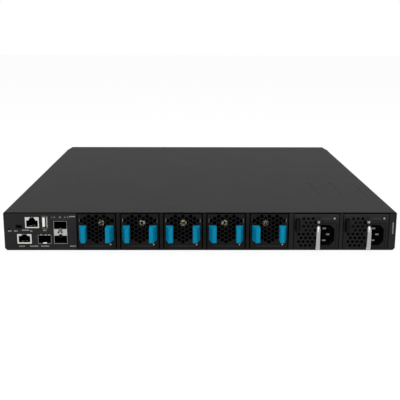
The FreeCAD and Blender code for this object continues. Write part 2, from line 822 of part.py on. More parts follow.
def make_sfp_cages():
    """Single and stacked cages for small pluggable modules: folded shells, closed behind."""
    start = f"{REAR} - connector_stand"
    inner_width = "sfp_width - 2 * cage_wall"
    low_x, low_z, high_x, high_z = port_outlines()["sfp_cage"]
    inner = box("sfp_inner", (f"{low_x} + cage_wall", start, f"{low_z} + cage_wall"),
                (inner_width, "cage_depth - cage_wall", "sfp_height - 2 * cage_wall"))
    node("sfp_cage", cut("sfp_cage_cut", socket_block("sfp_cage", "cage_depth"), [inner]))
    low_x, low_z, high_x, high_z = port_outlines()["sfp_stack_cage"]
    mouth = "((sfp_stack_height - sfp_stack_bar) / 2 - cage_wall)"
    mouths = []
    for index, low in enumerate((f"{low_z} + cage_wall", f"{high_z} - cage_wall - {mouth}"), start=1):
        mouths.append(box(f"sfp_stack_inner_{index}", (f"{low_x} + cage_wall", start, low),
                          (inner_width, "cage_depth - cage_wall", mouth)))
    node("sfp_stack_cage", cut("sfp_stack_cut", socket_block("sfp_stack_cage", "cage_depth"), mouths))


def make_status_lights():
    """Square light guides in the rear panel."""
    pieces = []
    for index in range(STATUS_LIGHT_COUNT):
        low_x, low_z, high_x, high_z = port_outlines()[f"status_light_{index + 1}"]
        pieces.append(box(f"status_light_{index + 1}", (low_x, f"{REAR} - light_stand", low_z),
                          ("light_side", "light_length", "light_side")))
    return node("status_lights", group("status_lights_group", pieces))


# fan trays


def fan_centre(index):
    return f"({FAN_ROW} + {index + 0.5} * fan_pitch)"


def hex_prisms(places, across, start, length):
    """Upright-flat hexagonal prisms along +Y at the given X and Z places."""
    radius = across / math.sqrt(3)
    prisms = []
    for x, z in places:
        corners = []
        for step in range(7):
            angle = math.radians(60 * step)
            corners.append(FreeCAD.Vector(x + radius * math.cos(angle), start, z + radius * math.sin(angle)))
        face = Part.Face(Part.makePolygon(corners))
        prisms.append(face.extrude(FreeCAD.Vector(0, length, 0)))
    return Part.makeCompound(prisms)


def honeycomb_places(pitch, half_width, half_height, keep):
    """Cell centres of a honeycomb about the origin that pass a test."""
    column_step = pitch * math.sqrt(3) / 2
    columns = int(half_width / column_step)
    rows = int(half_height / pitch) + 1
    places = []
    for column in range(-columns, columns + 1):
        shift = pitch / 2 if column % 2 else 0
        for row in range(-rows, rows + 1):
            x, z = column * column_step, row * pitch + shift
            if keep(x, z):
                places.append((x, z))
    return places


def tray_vents():
    """Cutting tool for one tray face: cells in a circle above the fan's axis, with none behind the grips."""
    pitch = value("vent_pitch")
    radius = value("vent_radius")
    grip_inner = value("tray_width / 2 - grip_inset - grip_base - vent_pitch / 2")
    grip_half = value("grip_height / 2 + vent_pitch / 4")

    def keep(x, z):
        behind_grip = abs(x) > grip_inner and abs(z + value("vent_rise + grip_drop")) < grip_half
        return math.hypot(x, z) <= radius and not behind_grip

    places = honeycomb_places(pitch, radius, radius, keep)
    thick = value("tray_face")
    return hex_prisms(places, pitch - value("vent_web"), -thick, 3 * thick)


def make_fan_tray(index, vents):
    """Folded tray: honeycomb face with slots for the grips, floor, and sides that start behind the nibs."""
    name = f"fan_{index + 1}_tray"
    centre = fan_centre(index)
    body_half = "(tray_width / 2 - tray_flange)"
    height = f"({MODULE_ROOF} - {MODULE_FLOOR})"
    side_y = f"({REAR} + nib_depth + nib_length + slot_gap)"
    side_size = ("tray_wall", f"{REAR} + tray_length - {side_y}", height)
    folded = fuse(name + "_folded", [
        box(name + "_face", (f"{centre} - tray_width / 2", REAR, MODULE_FLOOR),
            ("tray_width", "tray_face", height)),
        box(name + "_floor", (f"{centre} - {body_half}", REAR, MODULE_FLOOR),
            (f"2 * {body_half}", "tray_length", "tray_wall")),
        box(name + "_left", (f"{centre} - {body_half}", side_y, MODULE_FLOOR), side_size),
        box(name + "_right", (f"{centre} + {body_half} - tray_wall", side_y, MODULE_FLOOR), side_size),
    ])
    cells = doc.addObject("Part::Feature", name + "_vents")
    cells.Shape = vents
    place(cells, centre, REAR, f"{FAN_AXIS} + vent_rise")
    cut_start, cut_length = through("tray_face")
    slot_out = f"({body_half} - tray_wall - arm_gap + slot_gap)"
    slot_in = f"({slot_out} - slot_gap - arm_thickness - slot_travel)"
    slot_low = f"({FAN_AXIS} - grip_drop - arm_height / 2 - slot_gap)"
    slot_size = (f"{slot_out} - {slot_in}", cut_length, "arm_height + 2 * slot_gap")
    light_side = "light_side + 2 * cutout_gap"
    light_low = (f"{centre} + fan_light_x - light_side / 2 - cutout_gap", cut_start,
                 f"{MODULE_FLOOR} + fan_light_height - light_side / 2 - cutout_gap")
    tools = [
        cells,
        box(name + "_slot_left", (f"{centre} - {slot_out}", cut_start, slot_low), slot_size),
        box(name + "_slot_right", (f"{centre} + {slot_in}", cut_start, slot_low), slot_size),
        box(name + "_light_hole", light_low, (light_side, cut_length, light_side)),
    ]
    return node(name, cut(name + "_cut", folded, tools))


def make_fan_light(index):
    """Light guide at the lower right of a tray's face."""
    name = f"fan_{index + 1}_light"
    low = (f"{fan_centre(index)} + fan_light_x - light_side / 2", f"{REAR} - light_stand",
           f"{MODULE_FLOOR} + fan_light_height - light_side / 2")
    return node(name, box(name + "_box", low, ("light_side", "light_length", "light_side")))


def make_fan_housing(index):
    """Square fan body with a duct; a strut at its inner end carries the shaft's boss."""
    name = f"fan_{index + 1}_housing"
    centre = fan_centre(index)
    low_z = f"{MODULE_FLOOR} + tray_wall"
    front = f"({REAR} + fan_depth)"
    strut_y = f"({front} + fan_length - fan_strut_length)"
    ring = new_body(name + "_ring")
    half = "fan_side / 2"
    square = rectangle(f"{centre} - {half}", low_z, f"{centre} + {half}", f"{low_z} + fan_side")
    duct = polygon(centre, FAN_AXIS, "fan_bore_radius", DUCT_SIDES)
    pad_y(ring, name + "_section", front, "fan_length", [square, duct])
    strut = box(name + "_strut", (f"{centre} - fan_strut / 2", strut_y, low_z),
                ("fan_strut", "fan_strut_length", "fan_side"))
    boss = box(name + "_boss", (f"{centre} - boss_side / 2", strut_y, f"{FAN_AXIS} - boss_side / 2"),
               ("boss_side", "fan_strut_length", "boss_side"))
    plug = box(name + "_plug", (f"{centre} - fan_socket_width / 2", strut_y, low_z),
               ("fan_socket_width", f"{REAR} + tray_length - {strut_y}", "socket_height"))
    pivot = bore(name + "_bore", (centre, strut_y, FAN_AXIS), "pivot_radius + pivot_gap",
                 "pivot_length + pivot_gap", axis="y")
    solid = fuse(name + "_solid", [ring, strut, boss, plug])
    return node(name, cut(name + "_cut", solid, [pivot]))


def make_rotor(name, centre, axis_z, hub_front, sizes):
    """Hub with leaning blades, a boss on its outer face and a pivot behind it."""
    body = new_body(name + "_body")
    hub_length, blade_length = sizes["hub_length"], sizes["blade_length"]
    pad_y(body, name + "_hub", hub_front, hub_length, [polygon(centre, axis_z, "hub_radius", HUB_SIDES)])
    pad_y(body, name + "_boss", f"{hub_front} - hub_boss_stand", "hub_boss_stand",
          [polygon(centre, axis_z, "hub_boss_radius", BOSS_SIDES)])
    pad_y(body, name + "_pivot", f"({hub_front} + {hub_length})", "end_gap + pivot_length",
          [polygon(centre, axis_z, "pivot_radius", SHAFT_SIDES)])
    # each blade stands on the hub's upper side and leans across it from front to back,
    # and its end corners reach the tip radius
    root = "(hub_radius - blade_sink)"
    low = f"({hub_front} + ({hub_length} - {blade_length}) / 2)"
    high = f"({low} + {blade_length})"
    start, end = f"({centre} - {sizes['blade_lean']} / 2)", f"({centre} + {sizes['blade_lean']} / 2)"
    outline = [(f"{start} - blade_thickness / 2", low), (f"{start} + blade_thickness / 2", low),
               (f"{end} + blade_thickness / 2", high), (f"{end} - blade_thickness / 2", high)]
    half_reach = f"(({sizes['blade_lean']} + blade_thickness) / 2)"
    tip = f"sqrt({sizes['tip_radius']} ^ 2 - {half_reach} ^ 2)"
    blade = pad_z(body, name + "_blade", f"{axis_z} + {root}", f"{tip} - {root}", [outline])
    axis = body.newObject("PartDesign::Line", name + "_axis")
    axis.Placement.Rotation = FreeCAD.Rotation(FreeCAD.Vector(1, 0, 0), 90)
    place(axis, centre, "0", axis_z)
    turns = body.newObject("PartDesign::PolarPattern", name + "_blades")
    turns.Originals = [blade]
    turns.Axis = (axis, [""])
    turns.Angle = 360
    turns.Occurrences = BLADE_COUNT
    body.Tip = turns
    return node(name, body)


def make_fan_rotor(index):
    sizes = {
        "hub_length": "(fan_depth + fan_length - fan_strut_length - end_gap - hub_depth)",
        "blade_length": "blade_length",
        "blade_lean": "blade_lean",
        "tip_radius": f"(fan_bore_radius * {math.cos(math.pi / DUCT_SIDES):.6f} - blade_gap)",
    }
    make_rotor(f"fan_{index + 1}_rotor", fan_centre(index), FAN_AXIS, f"({REAR} + hub_depth)", sizes)


def make_grip(name, centre, side):
    """One squeeze grip: a wedge in front of the face on a leaf that bends at its root in the tray."""
    body = new_body(name + "_body")
    middle = f"({FAN_AXIS} - grip_drop)"

    def across(distance):
        return f"{centre} + {side} * ({distance})"

    outer = "(tray_width / 2 - grip_inset)"
    base_y = f"({REAR} - face_gap)"
    tip_y = f"({base_y} - grip_reach)"
    wedge = [(across(outer), base_y), (across(f"{outer} - (grip_base - grip_tip)"), tip_y),
             (across(f"{outer} - grip_base"), tip_y), (across(f"{outer} - grip_base"), base_y)]
    pad_z(body, name + "_wedge", f"{middle} - grip_height / 2", "grip_height", [wedge])

    def front_edge(edge, place_of):
        return near(place_of.y, value(tip_y))

    dress(body, "Chamfer", "Size", "grip_edge", front_edge)
    arm_out = "(tray_width / 2 - tray_flange - tray_wall - arm_gap)"
    arm_in = f"({arm_out} - arm_thickness)"
    arm = rectangle(across(arm_in), f"{base_y} - grip_edge", across(arm_out), f"{REAR} + arm_root_depth")
    pad_z(body, name + "_arm", f"{middle} - arm_height / 2", "arm_height", [arm])
    nib_out = "(tray_width / 2 - tray_flange + nib_stand)"
    nib_y = f"({REAR} + nib_depth)"
    nib = [(across(arm_in), f"{nib_y} + nib_length"), (across(arm_in), nib_y),
           (across(arm_out), nib_y), (across(nib_out), f"{nib_y} + nib_length")]
    pad_z(body, name + "_nib", f"{middle} - nib_height / 2", "nib_height", [nib])
    return node(name, body)


# power supplies


def psu_centre(index):
    return f"({PSU_ROW} + {index + 0.5} * psu_pitch)"


def psu_left(index):
    return f"({psu_centre(index)} - psu_width / 2)"


def psu_vents():
    """Cutting tool for one supply's face: level rows of cells, with none behind the latch."""
    pitch = value("psu_vent_pitch")
    half_width = value("psu_vent_width / 2")
    half_height = value("psu_vent_height / 2")
    latch_bottom = "(psu_latch_middle - psu_latch_height / 2 - psu_vent_pitch / 2)"
    latch_low = value(f"{latch_bottom} - {PSU_AXIS} - psu_vent_rise")
    latch_edge = "psu_latch_inset + psu_latch_width + psu_latch_travel + psu_vent_margin"
    latch_right = value(f"{latch_edge} - psu_vent_inset - psu_vent_width / 2 + psu_vent_pitch / 2")

    def keep(z, x):
        behind_latch = x < latch_right and z > latch_low
        return abs(x) <= half_width and abs(z) <= half_height and not behind_latch

    places = [(x, z) for z, x in honeycomb_places(pitch, half_height, half_width, keep)]
    thick = value("psu_sheet")
    return hex_prisms(places, pitch - value("psu_vent_web"), -thick, 3 * thick)


def make_psu_case(index, vents):
    """Closed sheet case: hole field, inlet cut-out, latch slot, ears for the handle and a fan strut."""
    name = f"psu_{index + 1}_case"
    centre = psu_centre(index)
    left = psu_left(index)
    height = f"({MODULE_ROOF} - {MODULE_FLOOR})"
    outer = box(name + "_outer", (left, REAR, MODULE_FLOOR), ("psu_width", "psu_length", height))
    inner = box(name + "_inner",
                (f"{left} + psu_sheet", f"{REAR} + psu_sheet", f"{MODULE_FLOOR} + psu_sheet"),
                ("psu_width - 2 * psu_sheet", "psu_length - 2 * psu_sheet", f"{height} - 2 * psu_sheet"))
    shell = cut(name + "_shell", outer, [inner])
    axis_x = f"({left} + psu_fan_inset)"
    strut_y = f"({REAR} + psu_hub_depth + psu_hub_length + end_gap)"
    strut = box(name + "_strut", (f"{axis_x} - boss_side / 2", strut_y, f"{MODULE_FLOOR} + psu_sheet / 2"),
                ("boss_side", "psu_strut", f"{height} - psu_sheet"))
    cells = doc.addObject("Part::Feature", name + "_vents")
    cells.Shape = vents
    place(cells, f"{left} + psu_vent_inset + psu_vent_width / 2", REAR, f"{PSU_AXIS} + psu_vent_rise")
    cut_start, cut_length = through("psu_sheet")
    inlet_low = (f"{centre} + inlet_x - inlet_width / 2 - cutout_gap", cut_start,
                 "inlet_middle - inlet_height / 2 - cutout_gap")
    slot_low = (f"{left} + psu_latch_inset - slot_gap", cut_start,
                "psu_latch_middle - psu_latch_height / 2 - slot_gap")
    slot_width = "psu_latch_width + psu_latch_travel + 2 * slot_gap"
    tools = [
        cells,
        box(name + "_inlet_hole", inlet_low,
            ("inlet_width + 2 * cutout_gap", cut_length, "inlet_height + 2 * cutout_gap")),
        box(name + "_latch_slot", slot_low, (slot_width, cut_length, "psu_latch_height + 2 * slot_gap")),
        bore(name + "_pivot_bore", (axis_x, strut_y, PSU_AXIS), "pivot_radius + pivot_gap",
             "pivot_length + pivot_gap", axis="y"),
    ]
    ears = []
    axis_x, axis_y = f"({centre} + handle_x)", f"({REAR} - handle_axis)"
    ear_out = "(stub_radius + stub_gap + ear_wall)"
    for end, low in (("low", "handle_low - seam_gap - ear_sheet"), ("high", "handle_high + seam_gap")):
        ears.append(box(f"{name}_ear_{end}", (f"{axis_x} - ear_width / 2", f"{axis_y} - {ear_out}", low),
                        ("ear_width", f"handle_axis + {ear_out} + psu_sheet / 2", "ear_sheet")))
        tools.append(bore(f"{name}_ear_bore_{end}", (axis_x, axis_y, f"{low} - seam_gap"),
                          "stub_radius + stub_gap", "ear_sheet + 2 * seam_gap"))
    solid = fuse(name + "_solid", [shell, strut] + ears)
    return node(name, cut(name + "_cut", solid, tools))


def make_psu_rotor(index):
    sizes = {
        "hub_length": "psu_hub_length",
        "blade_length": "psu_blade_length",
        "blade_lean": "psu_blade_lean",
        "tip_radius": "psu_blade_radius",
    }
    make_rotor(f"psu_{index + 1}_rotor", f"({psu_left(index)} + psu_fan_inset)", PSU_AXIS,
               f"({REAR} + psu_hub_depth)", sizes)


def make_psu_inlet(index):
    """Mains inlet turned on its side: a block with a mouth whose right corners are cut off."""
    name = f"psu_{index + 1}_inlet"
    middle = f"({psu_centre(index)} + inlet_x)"
    body = new_body(name + "_body")
    outline = rectangle(f"{middle} - inlet_width / 2", "inlet_middle - inlet_height / 2",
                        f"{middle} + inlet_width / 2", "inlet_middle + inlet_height / 2")
    pad_y(body, name + "_outline", REAR, "inlet_depth", [outline])
    left, right = f"{middle} - inlet_mouth_width / 2", f"{middle} + inlet_mouth_width / 2"
    low, high = "inlet_middle - inlet_mouth_height / 2", "inlet_middle + inlet_mouth_height / 2"
    mouth = [(left, low), (f"{right} - inlet_bevel", low), (right, f"{low} + inlet_bevel"),
             (right, f"{high} - inlet_bevel"), (f"{right} - inlet_bevel", high), (left, high)]
    cut_y(body, name + "_mouth", REAR, "inlet_mouth_depth", [mouth])
    return node(name, body)


def make_psu_pins(index):
    """Three flat pins on the inlet's back wall."""
    name = f"psu_{index + 1}_pins"
    middle = f"({psu_centre(index)} + inlet_x)"
    pieces = []
    places = (("pin_line", "pin_spread"), ("pin_line", "-pin_spread"), ("earth_pin_line", "0"))
    for pin, (line, up) in enumerate(places, start=1):
        low = (f"{middle} + {line} - pin_wide / 2", f"{REAR} + inlet_mouth_depth - pin_length",
               f"inlet_middle + {up} - pin_thin / 2")
        pieces.append(box(f"{name}_{pin}", low, ("pin_wide", "pin_length", "pin_thin")))
    return node(name, group(name + "_group", pieces))


def make_psu_handle(index):
    """Bent bar that swings on two upright stubs; drawn about its axis, then leant aside."""
    name = f"psu_{index + 1}_handle"
    body = new_body(name + "_body")
    half = "(handle_bar / 2)"
    tip = "(-handle_reach + handle_axis)"
    outline = rectangle(tip, "handle_low", half, "handle_high")
    profile = sketch(body, name + "_outline", "YZ_Plane", f"-{half}", [outline])
    pad(body, profile, "handle_bar")
    gap = rectangle(f"{tip} + handle_bar", "handle_low + handle_bar", half, "handle_high - handle_bar")
    profile = sketch(body, name + "_gap", "YZ_Plane", half, [gap])
    pocket(body, profile, "handle_bar")

    def outer_corner(edge, middle):
        return near(middle.y, value(tip)) and near(middle.x, 0)

    dress(body, "Fillet", "Radius", "handle_bend", outer_corner)
    for end, low in (("low", "handle_low - stub_length"), ("high", "handle_high - seam_gap")):
        stub = polygon("0", "0", "stub_radius", SHAFT_SIDES)
        pad_z(body, f"{name}_stub_{end}", low, "stub_length + seam_gap", [stub])
    body.Placement.Rotation = FreeCAD.Rotation(FreeCAD.Vector(0, 0, 1), -value("handle_lean"))
    place(body, f"{psu_centre(index)} + handle_x", f"{REAR} - handle_axis", "0")
    return node(name, body)


def make_psu_latch(index):
    """Black release latch: a tab in front of the face on an arm inside the case's left wall."""
    name = f"psu_{index + 1}_latch"
    body = new_body(name + "_body")
    low_x = f"({psu_left(index)} + psu_latch_inset)"
    high_x = f"({low_x} + psu_latch_width)"
    low_z = "psu_latch_middle - psu_latch_height / 2"
    tip = f"({REAR} - psu_latch_reach)"
    root_x = f"({psu_left(index)} + psu_sheet + arm_gap)"
    root_y = f"({REAR} + psu_latch_root)"
    inner = f"{REAR} + psu_latch_tail"
    tab = [(low_x, tip), (high_x, tip), (high_x, inner), (low_x, inner)]
    pad_z(body, name + "_tab", low_z, "psu_latch_height", [tab])
    arm = [(low_x, REAR), (f"{low_x} + arm_thickness", REAR),
           (f"{root_x} + arm_thickness", root_y), (root_x, root_y)]
    pad_z(body, name + "_arm", low_z, "psu_latch_height", [arm])
    return node(name, body)


# the whole switch


make_base_pan()
make_top_cover()
make_rear_panel()
make_bay_dividers()
make_port_panel()
make_port_cages()
make_main_board()
make_heat_sink()
make_backplane()
make_management_boards()
make_jack("console_jack")
make_jack("management_jack")
make_usb_port()
make_mini_usb_port()
make_sfp_cages()
make_status_lights()

tray_tool = tray_vents()
for number in range(FAN_COUNT):
    make_fan_tray(number, tray_tool)
    make_fan_light(number)
    make_fan_housing(number)
    make_fan_rotor(number)
    make_grip(f"fan_{number + 1}_latch_left", fan_centre(number), -1)
    make_grip(f"fan_{number + 1}_latch_right", fan_centre(number), 1)

psu_tool = psu_vents()
for number in range(PSU_COUNT):
    make_psu_case(number, psu_tool)
    make_psu_rotor(number)
    make_psu_inlet(number)
    make_psu_pins(number)
    make_psu_handle(number)
    make_psu_latch(number)

doc.recompute()

failed = [item.Label for item in doc.Objects if "Invalid" in item.State or "Error" in item.State]
if failed:
    raise RuntimeError("objects failed: " + ", ".join(failed))
for label, item in nodes.items():
    if item.Shape.isNull() or not item.Shape.isValid() or not item.Shape.Solids:
        raise RuntimeError("bad shape: " + label)

os.makedirs("parts", exist_ok=True)
for label, item in nodes.items():
    item.Shape.exportStep(f"parts/{label}.step")
print(len(nodes), "sub-parts written")
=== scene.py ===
# %% [markdown]
# # A one-unit network switch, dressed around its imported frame
#
# The frame already holds every piece of the switch at its real size: folded steel, boards, fan trays
# and power supplies, each on the body that moves it. This lesson gives the pieces their rounded edges,
# their small fittings and their finishes, without moving anything. All lengths in the frame are metres,
# so sizes below are written in millimetres and multiplied by MM.

# %% Load the frame
import json
import math

import bpy
from mathutils import Matrix, Vector


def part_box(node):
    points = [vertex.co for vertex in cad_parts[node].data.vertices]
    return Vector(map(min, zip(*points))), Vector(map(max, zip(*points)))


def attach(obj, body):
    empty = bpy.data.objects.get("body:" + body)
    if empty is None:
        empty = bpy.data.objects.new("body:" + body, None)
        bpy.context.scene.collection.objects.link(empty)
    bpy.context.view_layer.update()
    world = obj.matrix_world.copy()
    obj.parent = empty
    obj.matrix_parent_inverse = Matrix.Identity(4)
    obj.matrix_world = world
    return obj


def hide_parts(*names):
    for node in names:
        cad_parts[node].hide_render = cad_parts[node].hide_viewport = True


MM = 0.001
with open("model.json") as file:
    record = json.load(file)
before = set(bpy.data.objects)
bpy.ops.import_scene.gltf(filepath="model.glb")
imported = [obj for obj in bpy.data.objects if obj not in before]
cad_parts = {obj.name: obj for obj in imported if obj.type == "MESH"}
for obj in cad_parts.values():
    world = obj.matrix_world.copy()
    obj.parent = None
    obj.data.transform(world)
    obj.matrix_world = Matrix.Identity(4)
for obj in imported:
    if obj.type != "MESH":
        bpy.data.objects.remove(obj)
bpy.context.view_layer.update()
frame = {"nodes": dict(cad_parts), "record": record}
nodes = frame["nodes"]
record = frame["record"]
body_of = {node: body for body, members in record["behaviour"]["bodies"].items() for node in members}
slot_of = {row["node"]: row["material_slot"] for row in record["subparts"]}
FANS = range(1, 1 + sum(name.endswith("_tray") for name in nodes))
SUPPLIES = range(1, 1 + sum(name.endswith("_case") for name in nodes))
print(len(nodes), "pieces,", len(FANS), "fan trays,", len(SUPPLIES), "power supplies")

# %% [markdown]
# ## Working by hand from code
#
# An operator acts on whatever is selected, so every step first selects one object, and in edit mode the
# faces that pass a test on their middle and normal. A finished piece has its place written into its mesh
# and its object at the origin, exactly as the frame's own pieces have.

# %% Select, edit and apply
MERGE = 0.001 * MM
FLAT_ANGLE, SHARP_ANGLE, SMOOTH_ANGLE = math.radians(1), math.radians(30), math.radians(40)


def only(piece):
    bpy.ops.object.select_all(action="DESELECT")
    piece.select_set(True)
    bpy.context.view_layer.objects.active = piece


def edit_faces(piece, test):
    """Enter edit mode with just the faces selected whose middle and normal pass a test."""
    only(piece)
    bpy.ops.object.mode_set(mode="EDIT")
    bpy.ops.mesh.select_mode(type="FACE")
    bpy.ops.mesh.select_all(action="DESELECT")
    bpy.ops.object.mode_set(mode="OBJECT")
    for face in piece.data.polygons:
        face.select = test(face.center, face.normal)
    bpy.ops.object.mode_set(mode="EDIT")


def leave():
    bpy.ops.object.mode_set(mode="OBJECT")


def everywhere(centre, normal):
    return True


def to_the_front(centre, normal):
    return normal.y < -0.9


def pull(shift):
    """Extrude what is selected by a vector in metres."""
    bpy.ops.mesh.extrude_region_move(TRANSFORM_OT_translate={"value": shift})


def inset_front(piece, *steps):
    """Inset the front faces step by step; a step is a width and a rise in millimetres."""
    edit_faces(piece, to_the_front)
    for width, rise in steps:
        bpy.ops.mesh.inset(thickness=width * MM, depth=rise * MM)
    leave()


def turn_outwards():
    """Merge doubled corners, turn every face outwards and leave edit mode."""
    bpy.ops.mesh.select_all(action="SELECT")
    bpy.ops.mesh.remove_doubles(threshold=MERGE)
    bpy.ops.mesh.normals_make_consistent(inside=False)
    leave()


def modify(piece, kind, **settings):
    """Add one modifier, set it and apply it."""
    only(piece)
    modifier = piece.modifiers.new(kind.lower(), kind)
    for key, setting in settings.items():
        setattr(modifier, key, setting)
    bpy.ops.object.modifier_apply(modifier=modifier.name)


def even_shading(piece):
    """Smooth shading over the rounds only: large flats keep their own normal up to their edges."""
    only(piece)
    bpy.ops.mesh.customdata_custom_splitnormals_clear()
    bpy.ops.object.shade_smooth_by_angle(angle=SMOOTH_ANGLE)
    modify(piece, "WEIGHTED_NORMAL", weight=100, keep_sharp=True)


def soften(piece, width, segments=2):
    """Round the sharp edges and shade the rounds smoothly, flats flat; the width is in millimetres."""
    modify(piece, "BEVEL", width=width * MM, segments=segments, limit_method="ANGLE",
           angle_limit=SHARP_ANGLE, use_clamp_overlap=False)
    even_shading(piece)


# %% Add, copy, join and carve
CLEAR = 1 * MM


def added(operator, name, **settings):
    """Add an object with nothing else selected, and name it."""
    bpy.ops.object.select_all(action="DESELECT")
    operator(**settings)
    piece = bpy.context.active_object
    piece.name = name
    return piece


def settle(piece):
    """Write a piece's place, turn and scale into its mesh."""
    only(piece)
    bpy.ops.object.transform_apply(location=True, rotation=True, scale=True)
    return piece


def block(name, low, high):
    """A box between two corners in metres."""
    low, high = Vector(low), Vector(high)
    piece = added(bpy.ops.mesh.primitive_cube_add, name, size=1, location=(low + high) / 2)
    piece.scale = high - low
    return settle(piece)


def disc(name, centre, radius, depth, sides=48, axis="Y"):
    """A short cylinder about X, Y or Z whose middle is at a point in metres."""
    turn = {"X": (0, math.pi / 2, 0), "Y": (math.pi / 2, 0, 0), "Z": (0, 0, 0)}[axis]
    return settle(added(bpy.ops.mesh.primitive_cylinder_add, name, vertices=sides, radius=radius,
                        depth=depth, location=centre, rotation=turn))


def join(pieces):
    """Several pieces made one; the first gives its name."""
    bpy.ops.object.select_all(action="DESELECT")
    for piece in pieces:
        piece.select_set(True)
    bpy.context.view_layer.objects.active = pieces[0]
    bpy.ops.object.join()
    return pieces[0]


def copied(piece, name, shift):
    """A copy with its own mesh, moved by a vector in metres."""
    only(piece)
    bpy.ops.object.duplicate()
    copy = bpy.context.active_object
    copy.name = name
    copy.location = shift
    return settle(copy)


def row_of(model, shifts):
    """A model and its copies along a row, as one piece."""
    return join([model] + [copied(model, "copy", shift) for shift in shifts])


def carve(piece, tool):
    """Cut a closed tool out of a piece, and drop the tool."""
    modify(piece, "BOOLEAN", operation="DIFFERENCE", solver="EXACT", object=tool)
    bpy.data.objects.remove(tool)


# %% Give a piece its finish and the body it moves with
def wear(piece, material, body, slot):
    piece.data.materials.clear()
    piece.data.materials.append(material)
    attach(piece, body)
    return piece


def wear_inside(piece, material, test):
    """A second finish on the faces whose middle and normal pass a test."""
    piece.data.materials.append(material)
    edit_faces(piece, test)
    piece.active_material_index = len(piece.data.materials) - 1
    bpy.ops.object.material_slot_assign()
    leave()


# %% [markdown]
# ## Finishes
#
# Each finish is a Principled shader fed by noise on Object coordinates, so a pattern has a true size in
# millimetres and stays put when the piece moves. Paint gets a faint blotch and a fine orange-peel bump,
# plated sheet and drawn metal get streaks along one axis, and mouldings get a spark-eroded grain.

# %% Shader helpers
RAMP_FROM, RAMP_TO = 0.3, 0.7


def finish(name, colour, roughness, metallic=0.0, specular=0.5):
    """A Principled material with plain values: material, node tree and shader."""
    material = bpy.data.materials.new(name)
    material.use_nodes = True
    shader = material.node_tree.nodes["Principled BSDF"]
    shader.inputs["Base Color"].default_value = (*colour, 1)
    shader.inputs["Roughness"].default_value = roughness
    shader.inputs["Metallic"].default_value = metallic
    shader.inputs["Specular IOR Level"].default_value = specular
    return material, material.node_tree, shader


def noise(tree, size, stretch=(1, 1, 1), detail=3.0):
    """Noise whose grains measure about the given millimetres, stretched along the axes."""
    coordinates = tree.nodes.new("ShaderNodeTexCoord")
    mapping = tree.nodes.new("ShaderNodeMapping")
    mapping.inputs["Scale"].default_value = [1 / (size * MM * reach) for reach in stretch]
    texture = tree.nodes.new("ShaderNodeTexNoise")
    texture.inputs["Scale"].default_value = 1
    texture.inputs["Detail"].default_value = detail
    tree.links.new(coordinates.outputs["Object"], mapping.inputs["Vector"])
    tree.links.new(mapping.outputs["Vector"], texture.inputs["Vector"])
    return texture.outputs["Fac"]


def tint(tree, shader, source, dark, light):
    """Run the base colour between two colours by a pattern."""
    ramp = tree.nodes.new("ShaderNodeValToRGB")
    ramp.color_ramp.elements[0].position = RAMP_FROM
    ramp.color_ramp.elements[1].position = RAMP_TO
    ramp.color_ramp.elements[0].color = (*dark, 1)
    ramp.color_ramp.elements[1].color = (*light, 1)
    tree.links.new(source, ramp.inputs["Fac"])
    tree.links.new(ramp.outputs["Color"], shader.inputs["Base Color"])


def polish(tree, shader, source, low, high):
    """Run the roughness between two values by a pattern."""
    span = tree.nodes.new("ShaderNodeMapRange")
    span.inputs["To Min"].default_value = low
    span.inputs["To Max"].default_value = high
    tree.links.new(source, span.inputs["Value"])
    tree.links.new(span.outputs["Result"], shader.inputs["Roughness"])


def dent(tree, shader, source, strength, height=0.05):
    """Turn a pattern into small bumps; the height is in millimetres."""
    bump = tree.nodes.new("ShaderNodeBump")
    bump.inputs["Strength"].default_value = strength
    bump.inputs["Distance"].default_value = height * MM
    tree.links.new(source, bump.inputs["Height"])
    tree.links.new(bump.outputs["Normal"], shader.inputs["Normal"])


# %% Paints and mouldings
BLOTCH_SIZE, GLOSS_SPREAD, GRAIN_STRENGTH = 45, 0.08, 0.25


def coat(name, colour, spread, grain, roughness, specular=0.5):
    """A coat or moulding: a broad blotch in the colour and a fine grain in the bump and gloss."""
    material, tree, shader = finish(name, colour, roughness, specular=specular)
    dark = [part * (1 - spread) for part in colour]
    light = [part * (1 + spread) for part in colour]
    tint(tree, shader, noise(tree, BLOTCH_SIZE), dark, light)
    fine = noise(tree, grain)
    polish(tree, shader, fine, roughness - GLOSS_SPREAD, roughness + GLOSS_SPREAD)
    dent(tree, shader, fine, GRAIN_STRENGTH)
    return material


charcoal_paint = coat("charcoal_paint", (0.018, 0.018, 0.018), 0.08, 0.8, 0.6, 0.05)
panel_paint = coat("panel_paint", (0.0145, 0.0145, 0.0145), 0.08, 0.8, 0.6, 0.1)
# The posts' coat is darker than the panel's: painted shade.
shaded_post_paint = coat("shaded_post_paint", (0.009, 0.009, 0.009), 0.08, 0.8, 0.6, 0.08)
tray_coat = coat("tray_coat", (0.006, 0.006, 0.0062), 0.12, 0.7, 0.55, 0.1)
supply_coat = coat("supply_coat", (0.009, 0.009, 0.0095), 0.12, 0.7, 0.55, 0.12)
# A lighter coat: a painted highlight on the trays' fold strips, and the colour of the printed line on the
# supplies.
fold_highlight_and_print_coat = coat("fold_highlight_and_print_coat", (0.045, 0.045, 0.048), 0.12, 0.7, 0.55, 0.1)
black_moulding = coat("black_moulding", (0.004, 0.004, 0.0045), 0.15, 0.5, 0.5, 0.1)
grey_moulding = coat("grey_moulding", (0.05, 0.055, 0.06), 0.15, 0.5, 0.5, 0.2)
blue_moulding = coat("blue_moulding", (0.0, 0.185, 0.32), 0.08, 0.6, 0.5, 0.06)
white_moulding = coat("white_moulding", (0.75, 0.75, 0.72), 0.04, 0.6, 0.4)
board_lacquer = coat("board_lacquer", (0.012, 0.075, 0.035), 0.35, 0.6, 0.35)
window_moulding = coat("window_moulding", (0.5, 0.5, 0.48), 0.04, 0.6, 0.4)
white_ink = coat("white_ink", (0.3, 0.3, 0.29), 0.15, 0.4, 0.7, 0.1)
grey_ink = coat("grey_ink", (0.12, 0.12, 0.118), 0.15, 0.4, 0.7, 0.1)
